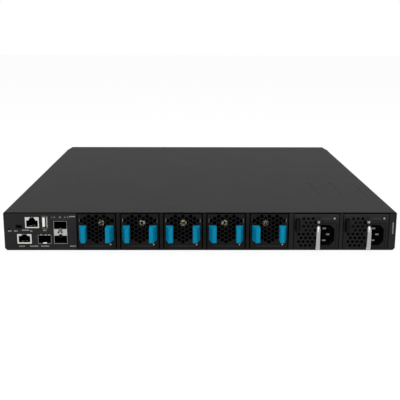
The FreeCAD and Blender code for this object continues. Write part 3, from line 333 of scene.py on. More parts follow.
amber_guide = coat("amber_guide", (0.5, 0.3, 0.23), 0.1, 0.5, 0.25)
smoked_guide = coat("smoked_guide", (0.03, 0.03, 0.03), 0.15, 0.5, 0.3, 0.2)
clear_guide = coat("clear_guide", (0.24, 0.25, 0.26), 0.08, 0.5, 0.2)
dome_grey = coat("dome_grey", (0.11, 0.1, 0.085), 0.12, 0.5, 0.4, 0.2)
port_shadow = coat("port_shadow", (0.004, 0.004, 0.004), 0.2, 0.6, 0.7, 0.06)


def painted_sheen_above(material, low, high, colour):
    """Paint a sheen: let a coat grow lighter between two heights in millimetres."""
    tree = material.node_tree
    shader = tree.nodes["Principled BSDF"]
    under = shader.inputs["Base Color"].links[0].from_socket
    coordinates = tree.nodes.new("ShaderNodeTexCoord")
    split = tree.nodes.new("ShaderNodeSeparateXYZ")
    span = tree.nodes.new("ShaderNodeMapRange")
    span.inputs["From Min"].default_value = low * MM
    span.inputs["From Max"].default_value = high * MM
    blend = tree.nodes.new("ShaderNodeMix")
    blend.data_type = "RGBA"
    blend.inputs["B"].default_value = (*colour, 1)
    tree.links.new(coordinates.outputs["Object"], split.inputs["Vector"])
    tree.links.new(split.outputs["Z"], span.inputs["Value"])
    tree.links.new(span.outputs["Result"], blend.inputs["Factor"])
    tree.links.new(under, blend.inputs["A"])
    tree.links.new(blend.outputs["Result"], shader.inputs["Base Color"])


# The supplies' faces grow lighter towards their top: a painted sheen.
SHEEN_FROM, SHEEN_TO = 30, 42
painted_sheen_above(supply_coat, SHEEN_FROM, SHEEN_TO, (0.02, 0.02, 0.0215))

# %% Metals
STREAK_SHADE, STREAK_STRENGTH, STREAK_HEIGHT = 0.88, 0.15, 0.02


def metal(name, colour, rough_low, rough_high, grain, stretch):
    """Bare or plated metal whose gloss and colour run in streaks along one axis."""
    material, tree, shader = finish(name, colour, rough_high, metallic=1.0)
    streak = noise(tree, grain, stretch, detail=5.0)
    tint(tree, shader, streak, [part * STREAK_SHADE for part in colour], colour)
    polish(tree, shader, streak, rough_low, rough_high)
    dent(tree, shader, streak, STREAK_STRENGTH, STREAK_HEIGHT)
    return material


plated_sheet = metal("plated_sheet", (0.66, 0.66, 0.65), 0.28, 0.45, 0.5, (1, 12, 1))
dull_plating = metal("dull_plating", (0.2, 0.2, 0.195), 0.35, 0.55, 0.5, (1, 12, 1))
spring_sheet = metal("spring_sheet", (0.47, 0.47, 0.46), 0.3, 0.45, 0.5, (1, 12, 1))
bright_rod = metal("bright_rod", (0.44, 0.44, 0.44), 0.2, 0.34, 0.3, (1, 1, 14))
# Dark plating: the real finish of the cover screws, and painted shade on the walls inside the ports.
stack_plating = metal("stack_plating", (0.09, 0.09, 0.088), 0.35, 0.55, 0.5, (1, 12, 1))
pin_metal = metal("pin_metal", (0.19, 0.19, 0.185), 0.3, 0.45, 0.3, (1, 14, 1))
drawn_aluminium = metal("drawn_aluminium", (0.72, 0.72, 0.73), 0.3, 0.45, 0.4, (1, 30, 1))
turned_brass = metal("turned_brass", (0.74, 0.6, 0.42), 0.22, 0.38, 0.4, (1, 1, 1))
gold_plating = metal("gold_plating", (0.85, 0.62, 0.25), 0.18, 0.3, 0.3, (1, 6, 1))
print(len(bpy.data.materials), "materials")

# %% [markdown]
# ## Rounded copies of the frame's pieces
#
# Folded sheet, plated metal and mouldings never meet at a perfect corner: a small round catches a line of
# light along every edge. The frame's own meshes may not change, so each piece gets a copy. The copy's loose
# triangles are merged, its flat faces are dissolved into whole ones, and a bevel rounds what is left.

# %% A softened copy that stands for a frame piece
def stands_for(piece, node, material):
    """Give a piece the body and place of a frame piece, and hide that piece."""
    wear(piece, material, body_of[node], slot_of[node])
    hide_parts(node)
    return piece


def rounded(node, width, segments=2, shaping=None):
    """The rounded copy; a shaping step may cut or inset it before its edges are rounded."""
    piece = bpy.data.objects.new("soft_" + node, nodes[node].data.copy())
    bpy.context.scene.collection.objects.link(piece)
    only(piece)
    bpy.ops.mesh.customdata_custom_splitnormals_clear()
    bpy.ops.object.mode_set(mode="EDIT")
    bpy.ops.mesh.select_all(action="SELECT")
    bpy.ops.mesh.remove_doubles(threshold=MERGE)
    bpy.ops.mesh.dissolve_limited(angle_limit=FLAT_ANGLE)
    leave()
    if shaping:
        shaping(piece)
    soften(piece, width, segments)
    return piece


def softened(node, width, material, segments=2, shaping=None):
    """A rounded copy that stands for its frame piece."""
    return stands_for(rounded(node, width, segments, shaping), node, material)


# %% [markdown]
# ## Shell
#
# Pan, cover and panels are folded sheet. The cover has three long shallow beads above the supplies and a row
# of sunk screws along each lip. A bead could be part of a bent profile, but these end on the flat, so three
# blocks are carved out instead. That comes after the cover's edges are rounded, because the round of an edge
# is wider than a bead is deep. The front edges of pan and cover lie in shade and wear black, and the posts
# between the fan trays wear painted shade: a coat darker than the panel they belong to.

# %% Beads and screw pockets of the cover
BEAD_PLACES = (144.6, 172.5, 201.6)
BEAD_WIDTH = 5
BEAD_FROM, BEAD_TO = -157, -75
BEAD_DEPTH, BEAD_ROUND = 0.25, 0.2
COVER_SCREWS = (-190, -65, 60, 175)
COVER_SCREW_UP = 38.6
POCKET_RADIUS, POCKET_DEPTH = 2.6, 0.6


def press_beads(cover):
    """Three long shallow beads pressed into the cover above the supplies."""
    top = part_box("top_cover")[1].z
    for x in BEAD_PLACES:
        bead = block("bead", ((x - BEAD_WIDTH / 2) * MM, BEAD_FROM * MM, top - BEAD_DEPTH * MM),
                     ((x + BEAD_WIDTH / 2) * MM, BEAD_TO * MM, top + 2 * CLEAR))
        soften(bead, BEAD_ROUND)
        carve(cover, bead)
    even_shading(cover)


def sink_screws(cover):
    """Round pockets along both lips, where flat screws hold the cover to the pan."""
    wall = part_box("top_cover")[1].x
    tools = []
    for x in (-wall, wall):
        for y in COVER_SCREWS:
            tools.append(disc("pocket", (x, y * MM, COVER_SCREW_UP * MM), POCKET_RADIUS * MM,
                              2 * POCKET_DEPTH * MM, 32, "X"))
    carve(cover, join(tools))


# %% Pan, cover, panels and the walls between the bays
EDGE_DEPTH = 1 * MM
posts_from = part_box(f"fan_{FANS[0]}_tray")[0].x
posts_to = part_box(f"fan_{FANS[-1]}_tray")[1].x


def on_front_edge(node):
    """A test for the faces of a sheet's front edge and its round."""
    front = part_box(node)[0].y

    def test(centre, normal):
        return normal.y < -0.35 and centre.y < front + EDGE_DEPTH

    return test


def divide(piece, cuts):
    """Divide the faces of a piece along planes, each given by a point and a direction."""
    for place, across in cuts:
        edit_faces(piece, everywhere)
        bpy.ops.mesh.bisect(plane_co=place, plane_no=across)
        leave()


def part_posts(panel):
    """Divide the panel where its posts between the fan trays begin and end."""
    divide(panel, [((x, 0, 0), (1, 0, 0)) for x in (posts_from, posts_to)])


pan = softened("base_pan", 0.4, charcoal_paint)
wear_inside(pan, port_shadow, on_front_edge("base_pan"))
cover = softened("top_cover", 0.35, charcoal_paint, shaping=sink_screws)
press_beads(cover)
wear_inside(cover, port_shadow, on_front_edge("top_cover"))
panel = softened("rear_panel", 0.25, panel_paint, shaping=part_posts)
# Painted shade: the posts between the fan trays, and the walls between the bays, wear a darker coat.
wear_inside(panel, shaded_post_paint, lambda centre, normal: posts_from < centre.x < posts_to)
softened("bay_dividers", 0.2, shaded_post_paint)
softened("port_panel", 0.6, charcoal_paint)
print("shell softened,", len(BEAD_PLACES), "beads pressed")

# %% [markdown]
# ## Boards and heat sink
#
# These are seen only when a fan tray or a supply is pulled out. The boards keep a thin edge; the sockets on
# the backplane are black mouldings in front of a green strip, so one copy wears two finishes. The two
# management boards and the riser between them only touch, and a bevel needs one closed shell, so a cut that
# also resolves their touching faces welds them first.

# %% Boards, sockets behind the bays and heat sink
SOCKET_REACH = 6.4 * MM
BESIDE = Vector((1, 1, 1)) * MM
module_nodes = [f"fan_{n}_tray" for n in FANS] + [f"psu_{n}_case" for n in SUPPLIES]
strip_fronts = [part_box(node)[1].y for node in module_nodes]


def weld(boards):
    """Make one shell of boards that only touch, by a cut with a block beside them."""
    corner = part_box("management_boards")[1] + BESIDE
    tool = block("beside", corner, corner + BESIDE)
    modify(boards, "BOOLEAN", operation="DIFFERENCE", solver="EXACT", use_self=True, object=tool)
    bpy.data.objects.remove(tool)
    edit_faces(boards, everywhere)
    bpy.ops.mesh.dissolve_limited(angle_limit=FLAT_ANGLE)
    leave()


def on_a_socket(centre, normal):
    return any(0 < centre.y - front < SOCKET_REACH for front in strip_fronts)


softened("main_board", 0.2, board_lacquer)
softened("management_boards", 0.2, board_lacquer, shaping=weld)
backplane = softened("backplane", 0.2, board_lacquer)
wear_inside(backplane, black_moulding, on_a_socket)
softened("heat_sink", 0.15, drawn_aluminium)
print("boards and heat sink softened,", len(strip_fronts), "sockets behind the bays")

# %% [markdown]
# ## Port side
#
# The ports of the far side stand in gangs of four, two over two, with a bar between the rows that holds four
# light windows. A gang is a block with its mouths carved out, so that its walls meet cleanly; the mouths take
# their places from the frame's own list of openings. One gang is modelled and copied along the nose.

# %% One gang of ports and its copies
RIM = 0.4 * MM
PORTS_A_GANG = 4
MOUTH_PLAY = 0.2 * MM
GROOVE_HALF, GROOVE_DEPTH = 1 * MM, 0.4 * MM
openings = {}
for row in record["physics"]["openings"]:
    openings[row["name"]] = [Vector(corner) for corner in row["box_m"]]
gangs = sum(name.startswith("port_") for name in openings) // PORTS_A_GANG
cages_low, cages_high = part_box("port_cages")
gang_pitch = openings[f"port_{PORTS_A_GANG + 1}"][0].x - openings["port_1"][0].x
gang_shifts = [(index * gang_pitch, 0, 0) for index in range(1, gangs)]
gang_wall = openings["port_1"][0].x - cages_low.x
gang_right = openings[f"port_{PORTS_A_GANG}"][1].x + gang_wall
mouth_floor, mouth_roof = openings["port_1"][0].z, openings["port_2"][1].z
row_middle = (openings["port_1"][1].z + openings["port_2"][0].z) / 2
groove_floor = cages_high.y - GROOVE_DEPTH
gang = block("port_gangs", cages_low, (gang_right, cages_high.y, cages_high.z))
for number in range(1, PORTS_A_GANG + 1):
    low, high = openings[f"port_{number}"]
    carve(gang, block("mouth", (low.x - MOUTH_PLAY, low.y, low.z - MOUTH_PLAY),
                      (high.x + MOUTH_PLAY, cages_high.y + CLEAR, high.z + MOUTH_PLAY)))
carve(gang, block("groove", (cages_low.x + 2 * gang_wall, groove_floor, row_middle - GROOVE_HALF),
                  (gang_right - 2 * gang_wall, cages_high.y + CLEAR, row_middle + GROOVE_HALF)))
soften(gang, 0.12)
cages = stands_for(row_of(gang, gang_shifts), "port_cages", plated_sheet)


def in_a_port(centre, normal):
    behind = centre.y < cages_high.y - 2 * GROOVE_DEPTH
    return behind and mouth_floor - RIM < centre.z < mouth_roof + RIM


# Painted shade: the walls deep inside the ports wear dark plating.
wear_inside(cages, stack_plating, in_a_port)
print(gangs, "gangs of", PORTS_A_GANG, "ports")

# %% Light windows in the bars, and marks under the ports
PLATE = 0.1 * MM
LIGHT_OFF, LIGHT_SIZE = 3 * MM, 0.9 * MM
INK, INK_ROUND = 0.04 * MM, 0.02
TICK_HALF, TICK_ROOT = 2.4 * MM, 0.1 * MM
TICK_TOP, TICK_FOOT = 1.8 * MM, 2.6 * MM


def pointer(name, x, y, z, size, up):
    """A small upright triangle that points up or down, slightly raised."""
    turn = math.pi / 2 if up else -math.pi / 2
    piece = settle(added(bpy.ops.mesh.primitive_circle_add, name, vertices=3, radius=size,
                         fill_type="NGON", location=(x, y, z), rotation=(turn, 0, 0)))
    edit_faces(piece, everywhere)
    pull((0, PLATE, 0))
    turn_outwards()
    return piece


nose_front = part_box("port_panel")[1].y
windows, ticks = [], []
for port in ("port_1", "port_3"):
    low, high = openings[port]
    middle = (low.x + high.x) / 2
    for side, up in ((-1, True), (1, False)):
        windows.append(pointer("port_lights", middle + side * LIGHT_OFF, groove_floor, row_middle,
                               LIGHT_SIZE, up))
    tick = block("port_marks", (middle - TICK_HALF, nose_front - TICK_ROOT, cages_low.z - TICK_FOOT),
                 (middle + TICK_HALF, nose_front + INK, cages_low.z - TICK_TOP))
    soften(tick, INK_ROUND, 1)
    ticks.append(tick)
wear(row_of(join(windows), gang_shifts), clear_guide, "chassis", "light_guide")
wear(row_of(join(ticks), gang_shifts), grey_ink, "chassis", "white_plastic")
print(gangs * len(windows), "light windows")

# %% [markdown]
# ## Sockets of the management section
#
# Two network jacks, an upright and a small oval serial socket, and three module cages stand a little proud of
# the panel. The jacks' shells are bright plated steel, those of the cages and the upright socket are duller,
# and the small socket is dark. The faces behind each mouth's rim wear painted shade, so every mouth looks
# black. A jack's mouth has a notch above it that narrows upwards; a block with a smaller top cuts it out. A
# thin ring divided off round a shell's front wears painted shade too: the shadow of the gap round it.

# %% Tests and cuts for a shell
RING_DEPTH = 1.5 * MM


def middle_x(node):
    low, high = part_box(node)
    return (low.x + high.x) / 2


def inside_of(node):
    """A test for the faces that lie within a shell, behind its rim."""
    low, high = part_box(node)

    def test(centre, normal):
        across = low.x + RIM < centre.x < high.x - RIM and low.z + RIM < centre.z < high.z - RIM
        return across and low.y + RIM < centre.y < high.y - RIM

    return test


def on_ring_of(node, edge):
    """A test for the outer ring of a shell's front."""
    low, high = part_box(node)

    def test(centre, normal):
        near_x = min(centre.x - low.x, high.x - centre.x) < edge
        near_z = min(centre.z - low.z, high.z - centre.z) < edge
        return (near_x or near_z) and centre.y < low.y + RING_DEPTH

    return test


def ringed(piece, node, edge):
    """Divide a shell's faces at a distance from its four sides."""
    low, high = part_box(node)
    cuts = [((x, 0, 0), (1, 0, 0)) for x in (low.x + edge, high.x - edge)]
    divide(piece, cuts + [((0, 0, z), (0, 0, 1)) for z in (low.z + edge, high.z - edge)])


# %% Network jacks
JACKS = (("console_jack", 0.5 * MM, 0.9 * MM), ("management_jack", 0.25 * MM, 0.8 * MM))
MOUTH_HALF, MOUTH_DEPTH = 6.4 * MM, 3 * MM
MOUTH_BOTTOM, MOUTH_TOP = 1.7 * MM, 9.2 * MM
NOTCH_WIDE, NOTCH_SLIM = 4.2 * MM, 1.9 * MM
NOTCH_DEPTH, NOTCH_OVERLAP = 6 * MM, 0.1 * MM
LIP_HALF, LIP_DEPTH = 3.4 * MM, 1.2 * MM


def notch_tool(node, lip):
    """A block with a smaller top that cuts the notch above a mouth; the lip is what stays above it."""
    low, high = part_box(node)
    middle, roof = middle_x(node), high.z - lip
    tool = block("notch", (middle - NOTCH_WIDE, low.y - CLEAR, low.z + MOUTH_TOP - NOTCH_OVERLAP),
                 (middle + NOTCH_WIDE, low.y + NOTCH_DEPTH, roof))
    edit_faces(tool, lambda centre, normal: normal.z > 0.9)
    bpy.ops.transform.resize(value=(NOTCH_SLIM / NOTCH_WIDE, 1, 1), center_override=(middle, low.y, roof))
    leave()
    return tool


def framed(node, edge, lip):
    """A shaping step that opens a jack's mouth, cuts its notch and divides off its outer ring."""
    low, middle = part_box(node)[0], middle_x(node)

    def shaping(piece):
        carve(piece, block("mouth", (middle - MOUTH_HALF, low.y - CLEAR, low.z + MOUTH_BOTTOM),
                           (middle + MOUTH_HALF, low.y + MOUTH_DEPTH, low.z + MOUTH_TOP)))
        carve(piece, notch_tool(node, lip))
        ringed(piece, node, edge)

    return shaping


for node, edge, lip in JACKS:
    jack = softened(node, 0.12, plated_sheet, shaping=framed(node, edge, lip))
    wear_inside(jack, port_shadow, on_ring_of(node, edge))
    wear_inside(jack, port_shadow, inside_of(node))
    low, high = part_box(node)
    middle = middle_x(node)
    notch_lip = block(f"{node}_lip", (middle - LIP_HALF, low.y, low.z + MOUTH_TOP),
                      (middle + LIP_HALF, low.y + LIP_DEPTH, high.z - edge))
    carve(notch_lip, notch_tool(node, lip))
    soften(notch_lip, 0.1)
    wear(notch_lip, plated_sheet, "chassis", "zinc_sheet")
print(len(JACKS), "network jacks made")

# %% Serial sockets, cages and status lights
SHELLS = (("usb_port", dull_plating), ("mini_usb_port", charcoal_paint), ("sfp_cage", dull_plating))
STACK = "sfp_stack_cage"
STACK_EDGE, STACK_BAR_HALF = 0.25 * MM, 3.9 * MM
TONGUE_WIDER, TONGUE_LONGER = 0.6 * MM, 3.3 * MM
stack_low, stack_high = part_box(STACK)
bar_middle = (stack_low.z + stack_high.z) / 2


def ring_the_stack(cage):
    ringed(cage, STACK, STACK_EDGE)


def on_the_bar(centre, normal):
    """A test for the bar between the two mouths of the stacked cage."""
    level = abs(centre.z - bar_middle) < STACK_BAR_HALF
    return level and normal.y < -0.5 and centre.y < stack_low.y + RIM


for node, finish_of_shell in SHELLS:
    wear_inside(softened(node, 0.12, finish_of_shell), port_shadow, inside_of(node))
stack = softened(STACK, 0.12, dull_plating, shaping=ring_the_stack)
wear_inside(stack, port_shadow, inside_of(STACK))
wear_inside(stack, spring_sheet, on_the_bar)
wear_inside(stack, port_shadow, on_ring_of(STACK, STACK_EDGE))
low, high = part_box("usb_tongue")
tongue = block("soft_usb_tongue", (low.x - TONGUE_WIDER, low.y - TONGUE_LONGER, low.z), high)
inset_front(tongue, (0.35, 0.2))
soften(tongue, 0.12)
stands_for(tongue, "usb_tongue", white_moulding)
softened("status_lights", 0.2, smoked_guide)
print(len(SHELLS) + 1, "socket and cage shells softened")

# %% [markdown]
# A network jack has a light window in each upper corner and eight springy gold wires that rise from the floor
# of its mouth. A window is a box whose front face is inset and pushed in; a wire is a thin strip whose inner
# end is lifted. One wire is modelled, and the rest are copies.

# %% Jack windows and contact wires
WINDOW_IN, WINDOW_EDGE = 3.7 * MM, 1 * MM
WINDOW_PROUD, WINDOW_DEEP = 0.15 * MM, 1 * MM
WINDOW_ABOVE, WINDOW_UNDER = 0.3 * MM, 0.8 * MM
WIRE_COUNT, WIRE_PITCH = 8, 1.02 * MM
WIRE_HALF, WIRE_LIFT = 0.22 * MM, 3 * MM
WIRE_FROM, WIRE_TO = 2.5 * MM, 12 * MM
WIRE_LOW, WIRE_HIGH = 2.4 * MM, 2.7 * MM


def bent_strip(name, low, high, edge, shift, rounding=0.1):
    """A strip whose faces on one side are moved over, so that it leans."""
    piece = block(name, low, high)
    edit_faces(piece, lambda centre, normal: normal.dot(Vector(edge)) > 0.9)
    bpy.ops.transform.translate(value=shift)
    leave()
    soften(piece, rounding)
    return piece


for node, edge, lip in JACKS:
    low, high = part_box(node)
    middle = middle_x(node)
    for side, place in ((-1, "left"), (1, "right")):
        ends = sorted((middle + side * WINDOW_IN, middle + side * ((high.x - low.x) / 2 - WINDOW_EDGE)))
        window = block(f"{node}_window_{place}",
                       (ends[0], low.y - WINDOW_PROUD, low.z + MOUTH_TOP + WINDOW_ABOVE),
                       (ends[1], low.y + WINDOW_DEEP, high.z - WINDOW_UNDER))
        inset_front(window, (0.25, -0.12))
        soften(window, 0.12)
        wear(window, window_moulding, "chassis", "white_plastic")
    first = middle - (WIRE_COUNT - 1) / 2 * WIRE_PITCH
    wire = bent_strip(f"{node}_wires", (first - WIRE_HALF, low.y + WIRE_FROM, low.z + WIRE_LOW),
                      (first + WIRE_HALF, low.y + WIRE_TO, low.z + WIRE_HIGH), (0, 1, 0), (0, 0, WIRE_LIFT),
                      0.08)
    wires = row_of(wire, [(index * WIRE_PITCH, 0, 0) for index in range(1, WIRE_COUNT)])
    wear(wires, gold_plating, "chassis", "bright_steel")
print("jack windows and", WIRE_COUNT, "wires a jack made")

# %% [markdown]
# The bar of the stacked cage has two small pointers printed on it, one to each mouth, and a round release
# button for each mouth. A pointer is the three-sided plate of the port side again; a button is a disc whose
# front is inset.

# %% Pointers and release buttons on the stacked cage's bar
POINTER_OUT, POINTER_SHIFT = 1.8 * MM, -0.4 * MM
POINTER_SIZE, POINTER_PROUD = 1.75 * MM, 0.03 * MM
BUTTONS = (("upper", 2.7 * MM, dome_grey), ("lower", -4.2 * MM, port_shadow))
BUTTON_RADIUS, BUTTON_DEPTH = 2.3 * MM, 0.24 * MM
bar_x = middle_x(STACK)
marks = []
for side, up in ((-1, True), (1, False)):
    marks.append(pointer("cage_pointers", bar_x + POINTER_SHIFT + side * POINTER_OUT,
                         stack_low.y - POINTER_PROUD, bar_middle, POINTER_SIZE, up))
wear(join(marks), port_shadow, "chassis", "black_plastic")
for name, up, finish_of_button in BUTTONS:
    button = disc(f"cage_{name}_button", (bar_x, stack_low.y, bar_middle + up), BUTTON_RADIUS,
                  BUTTON_DEPTH, 32)
    inset_front(button, (0.4, 0.06))
    soften(button, 0.05)
    wear(button, finish_of_button, "chassis", "black_plastic")
print(len(BUTTONS), "release buttons and a pair of pointers made")

# %% [markdown]
# The single cage carries spring fingers along its upper lip and a latch tab on its lower one, and the upright
# serial socket has a spring along one wall. All are strips of thin bright sheet: a block whose far edge is
# moved over, with its corners rounded.

# %% Spring fingers, latch tab and socket spring
STRIP_PROUD = 0.05 * MM
FINGER_PLACES, FINGER_WIDTH = (3.0 * MM, 8.1 * MM, 11.8 * MM), 1.7 * MM
FINGER_UNDER, FINGER_OVER = 0.3 * MM, 0.5 * MM
FINGER_DEPTH, FINGER_LEAN = 0.6 * MM, 0.1 * MM
LATCH_HALF, LATCH_LOW, LATCH_HIGH = 2.1 * MM, 0.3 * MM, 1.5 * MM
LATCH_DEPTH, LATCH_LEAN = 0.5 * MM, 0.6 * MM
SPRING_IN, SPRING_OUT, SPRING_LEAN = 1.6 * MM, 0.7 * MM, 0.5 * MM
SPRING_FROM, SPRING_TO, SPRING_END = 0.1 * MM, 5 * MM, 1.2 * MM
low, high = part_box("sfp_cage")
first = low.x + FINGER_PLACES[0]
finger = bent_strip("cage_fingers", (first, low.y - STRIP_PROUD, high.z - FINGER_UNDER),
                    (first + FINGER_WIDTH, low.y + FINGER_DEPTH, high.z + FINGER_OVER), (0, 0, 1),
                    (0, FINGER_LEAN, 0))
fingers = row_of(finger, [(place - FINGER_PLACES[0], 0, 0) for place in FINGER_PLACES[1:]])
middle = middle_x("sfp_cage")
tab = bent_strip("cage_tab", (middle - LATCH_HALF, low.y - STRIP_PROUD, low.z + LATCH_LOW),
                 (middle + LATCH_HALF, low.y + LATCH_DEPTH, low.z + LATCH_HIGH), (0, 0, 1),
                 (0, LATCH_LEAN, 0))
wear(join([fingers, tab]), spring_sheet, "chassis", "bright_steel")
low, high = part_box("usb_port")
spring = bent_strip("socket_spring", (high.x - SPRING_IN, low.y + SPRING_FROM, low.z + SPRING_END),
                    (high.x - SPRING_OUT, low.y + SPRING_TO, high.z - SPRING_END), (0, 1, 0),
                    (SPRING_LEAN, 0, 0))
wear(spring, spring_sheet, "chassis", "bright_steel")
print(len(FINGER_PLACES), "fingers, a tab and a spring made")

# %% [markdown]
# Flat screws hold the cover's lips to the pan, and a small one holds the panel at its left end. A head is a
# disc with a broken edge, and its cross recess is cut by two crossed blocks. The cover's screws lie within
# their pockets.

# %% Screws of the cover and the panel
RECESS_LONG, RECESS_THIN, RECESS_FLOOR = 0.65, 0.14, 0.3
PANEL_SCREW_X, PANEL_SCREW_UP = -214.3 * MM, 24.8 * MM
PANEL_HEAD_RADIUS, PANEL_HEAD_STAND = 1.3 * MM, 0.15 * MM
HEAD_RADIUS, HEAD_STAND, HEAD_SINK = 2.3 * MM, 0.22 * MM, 0.3 * MM


def cross_screw(name, place, radius, stand, out):
    """A screw head that faces along X or Y; its front stands out from its place by the given length."""
    out = Vector(out)
    sideways = Vector((abs(out.y), abs(out.x), 0))
    head = disc(name, place, radius, 2 * stand, 32, "X" if out.x else "Y")
    long, thin = RECESS_LONG * radius, RECESS_THIN * radius
    for across, up in ((long, thin), (thin, long)):
        reach = sideways * across + Vector((0, 0, up))
        corners = (place + out * RECESS_FLOOR * stand - reach, place + out * 2 * stand + reach)
        low = [min(pair) for pair in zip(*corners)]
        high = [max(pair) for pair in zip(*corners)]
        carve(head, block("recess", low, high))
    soften(head, 0.05)
    return head


panel_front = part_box("rear_panel")[0].y
screw_at = Vector((PANEL_SCREW_X, panel_front, PANEL_SCREW_UP))
panel_screw = cross_screw("panel_screw", screw_at, PANEL_HEAD_RADIUS, PANEL_HEAD_STAND, (0, -1, 0))
wear(panel_screw, port_shadow, "chassis", "black_plastic")
rows = []
for side in (-1, 1):
    wall = side * (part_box("top_cover")[1].x - HEAD_SINK)
    first_at = Vector((wall, COVER_SCREWS[0] * MM, COVER_SCREW_UP * MM))
    head = cross_screw("cover_screws", first_at, HEAD_RADIUS, HEAD_STAND, (side, 0, 0))
    rows.append(row_of(head, [(0, (y - COVER_SCREWS[0]) * MM, 0) for y in COVER_SCREWS[1:]]))
wear(join(rows), stack_plating, "chassis", "bright_steel")
print(len(rows) * len(COVER_SCREWS), "cover screws and a panel screw made")

# %% [markdown]
# ## Printed marks
#
# White marks stand beside the sockets. They carry no words here: each row is a run of short bars, with a few
# plain shapes above the stacked cage. Ink is a film, so one thin bar is modelled, set a hair proud of the
# panel, and copied along each row.

# %% Rows of bars and plain shapes in white ink
INK_ROOT = 0.2 * MM
BAR_PITCH, BAR_WIDTH, BAR_HEIGHT = 1.35, 0.9, 1.3
LEVEL_ROWS = ((-204.1, -197.4, 4.8), (-191.8, -181.7, 4.8), (-179.5, -169.4, 4.8), (-146.9, -140.2, 4.8),
              (-215.5, -211, 22.5), (-208.8, -205.4, 22.5), (-199.8, -192, 23.5), (-190.9, -187.6, 22.5),
              (-176.4, -171.9, 23.3), (-146.6, -139.8, 39.2))
POST_X, POST_ROW = 216.4, (19, 33)
STATUS_UP = 38.4
SHAPES = ((-166.2, 4, 0.9), (-163.0, 3, 1.5), (-156.8, 4, 1.5), (-151.4, 4, 1.1), (-148.2, 24, 0.9))


def bar_middles(start, stop):
    """Where the bars of a row stand between two ends."""
    return [start + (index + 0.5) * BAR_PITCH for index in range(round((stop - start) / BAR_PITCH))]


def ink_bars(width, height, places):
    """Copies of one bar of ink at the panel's front; a place is millimetres across and up."""
    model = block("bar", (-width / 2 * MM, panel_front - INK, -height / 2 * MM),
                  (width / 2 * MM, panel_front + INK_ROOT, height / 2 * MM))
    soften(model, INK_ROUND, 1)
    copies = [copied(model, "panel_marks", (x * MM, 0, z * MM)) for x, z in places]
    bpy.data.objects.remove(model)
    return copies


level_places = [(x, z) for start, stop, z in LEVEL_ROWS for x in bar_middles(start, stop)]
post_places = [(POST_X, z) for z in bar_middles(*POST_ROW)]
bars = ink_bars(BAR_WIDTH, BAR_HEIGHT, level_places) + ink_bars(BAR_HEIGHT, BAR_WIDTH, post_places)
wear(join(bars), white_ink, "chassis", "white_plastic")
shapes = []
for x, sides, size in SHAPES:
    place = (x * MM, panel_front + INK_ROOT / 2 - INK, STATUS_UP * MM)
    shape = disc("status_marks", place, size * MM, INK_ROOT, sides)
    soften(shape, INK_ROUND, 1)
    shapes.append(shape)
wear(join(shapes), grey_ink, "chassis", "white_plastic")
print(len(level_places) + len(post_places), "bars and", len(SHAPES), "shapes printed")

# %% [markdown]
# ## Fan trays
#
# A tray is folded sheet with a honeycomb face. Behind it sits a moulded fan body with a round duct, and in
# the duct a rotor whose hub shows a brass ring through the cells. Two blue grips squeeze together to release
# the tray. The face only needs its outer cells cut and its edges broken; the fan body and rotor are modelled
# round. The trays are alike, so what is modelled for the first one is copied along the row.

# %% Where the joints stand, and copies along the row
joint_at = {}
for joint in record["behaviour"]["joints"]:
    if "pos_m" in joint:
        joint_at[joint["name"]] = Vector(joint["pos_m"])
first_axis = joint_at["fan_spin_1"]


def along_the_row(model, name):
    """A model made for the first fan tray, and its copies for the others."""
    pieces = [model]
    for n in FANS[1:]:
        pieces.append(copied(model, name.format(n), joint_at[f"fan_spin_{n}"] - first_axis))
    return pieces


# %% Honeycomb: the cells that the frame leaves out
CELL_PITCH = 4.9
CELL_WEB = 0.9
CELL_COLUMN = CELL_PITCH * math.sqrt(3) / 2
CELL_RISE = 3.4
CELL_CORNER = (CELL_PITCH - CELL_WEB) / math.sqrt(3)
CUT_THROUGH = 4 * MM
SLOT_IN, SLOT_OUT = 18.1 * MM, 19.3 * MM
SLOT_LOW, SLOT_HIGH = 9.8 * MM, 15.6 * MM
EXTRA_CELLS = ((2, 3), (2, 1), (2, 0), (2, -1), (2, -2), (3, 2), (4, 2))


def cell_tool(centre, corner, turn=math.pi / 6):
    """A six-sided rod along Y to cut one cell; without the turn, two corners point up and down."""
    return settle(added(bpy.ops.mesh.primitive_cylinder_add, "cell", vertices=6, radius=corner,
                        depth=CUT_THROUGH, location=centre, rotation=(math.pi / 2, turn, 0)))


def open_cells(tray):
    """Cut the outer cells of the honeycomb, columns 2 to 4 on both sides, and a slot beside them."""
    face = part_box("fan_1_tray")[0].y
    cells = []
    for column, row in EXTRA_CELLS:
        up = CELL_RISE + (row + (0.5 if column % 2 else 0)) * CELL_PITCH
        for side in (-1, 1):
            place = (first_axis.x + side * column * CELL_COLUMN * MM, face, first_axis.z + up * MM)
            cells.append(cell_tool(place, CELL_CORNER * MM))
    carve(tray, join(cells))
    for side in (-1, 1):
        ends = sorted((first_axis.x + side * SLOT_IN, first_axis.x + side * SLOT_OUT))
        carve(tray, block("slot", (ends[0], face - CUT_THROUGH / 2, first_axis.z + SLOT_LOW),
                          (ends[1], face + CUT_THROUGH / 2, first_axis.z + SLOT_HIGH)))


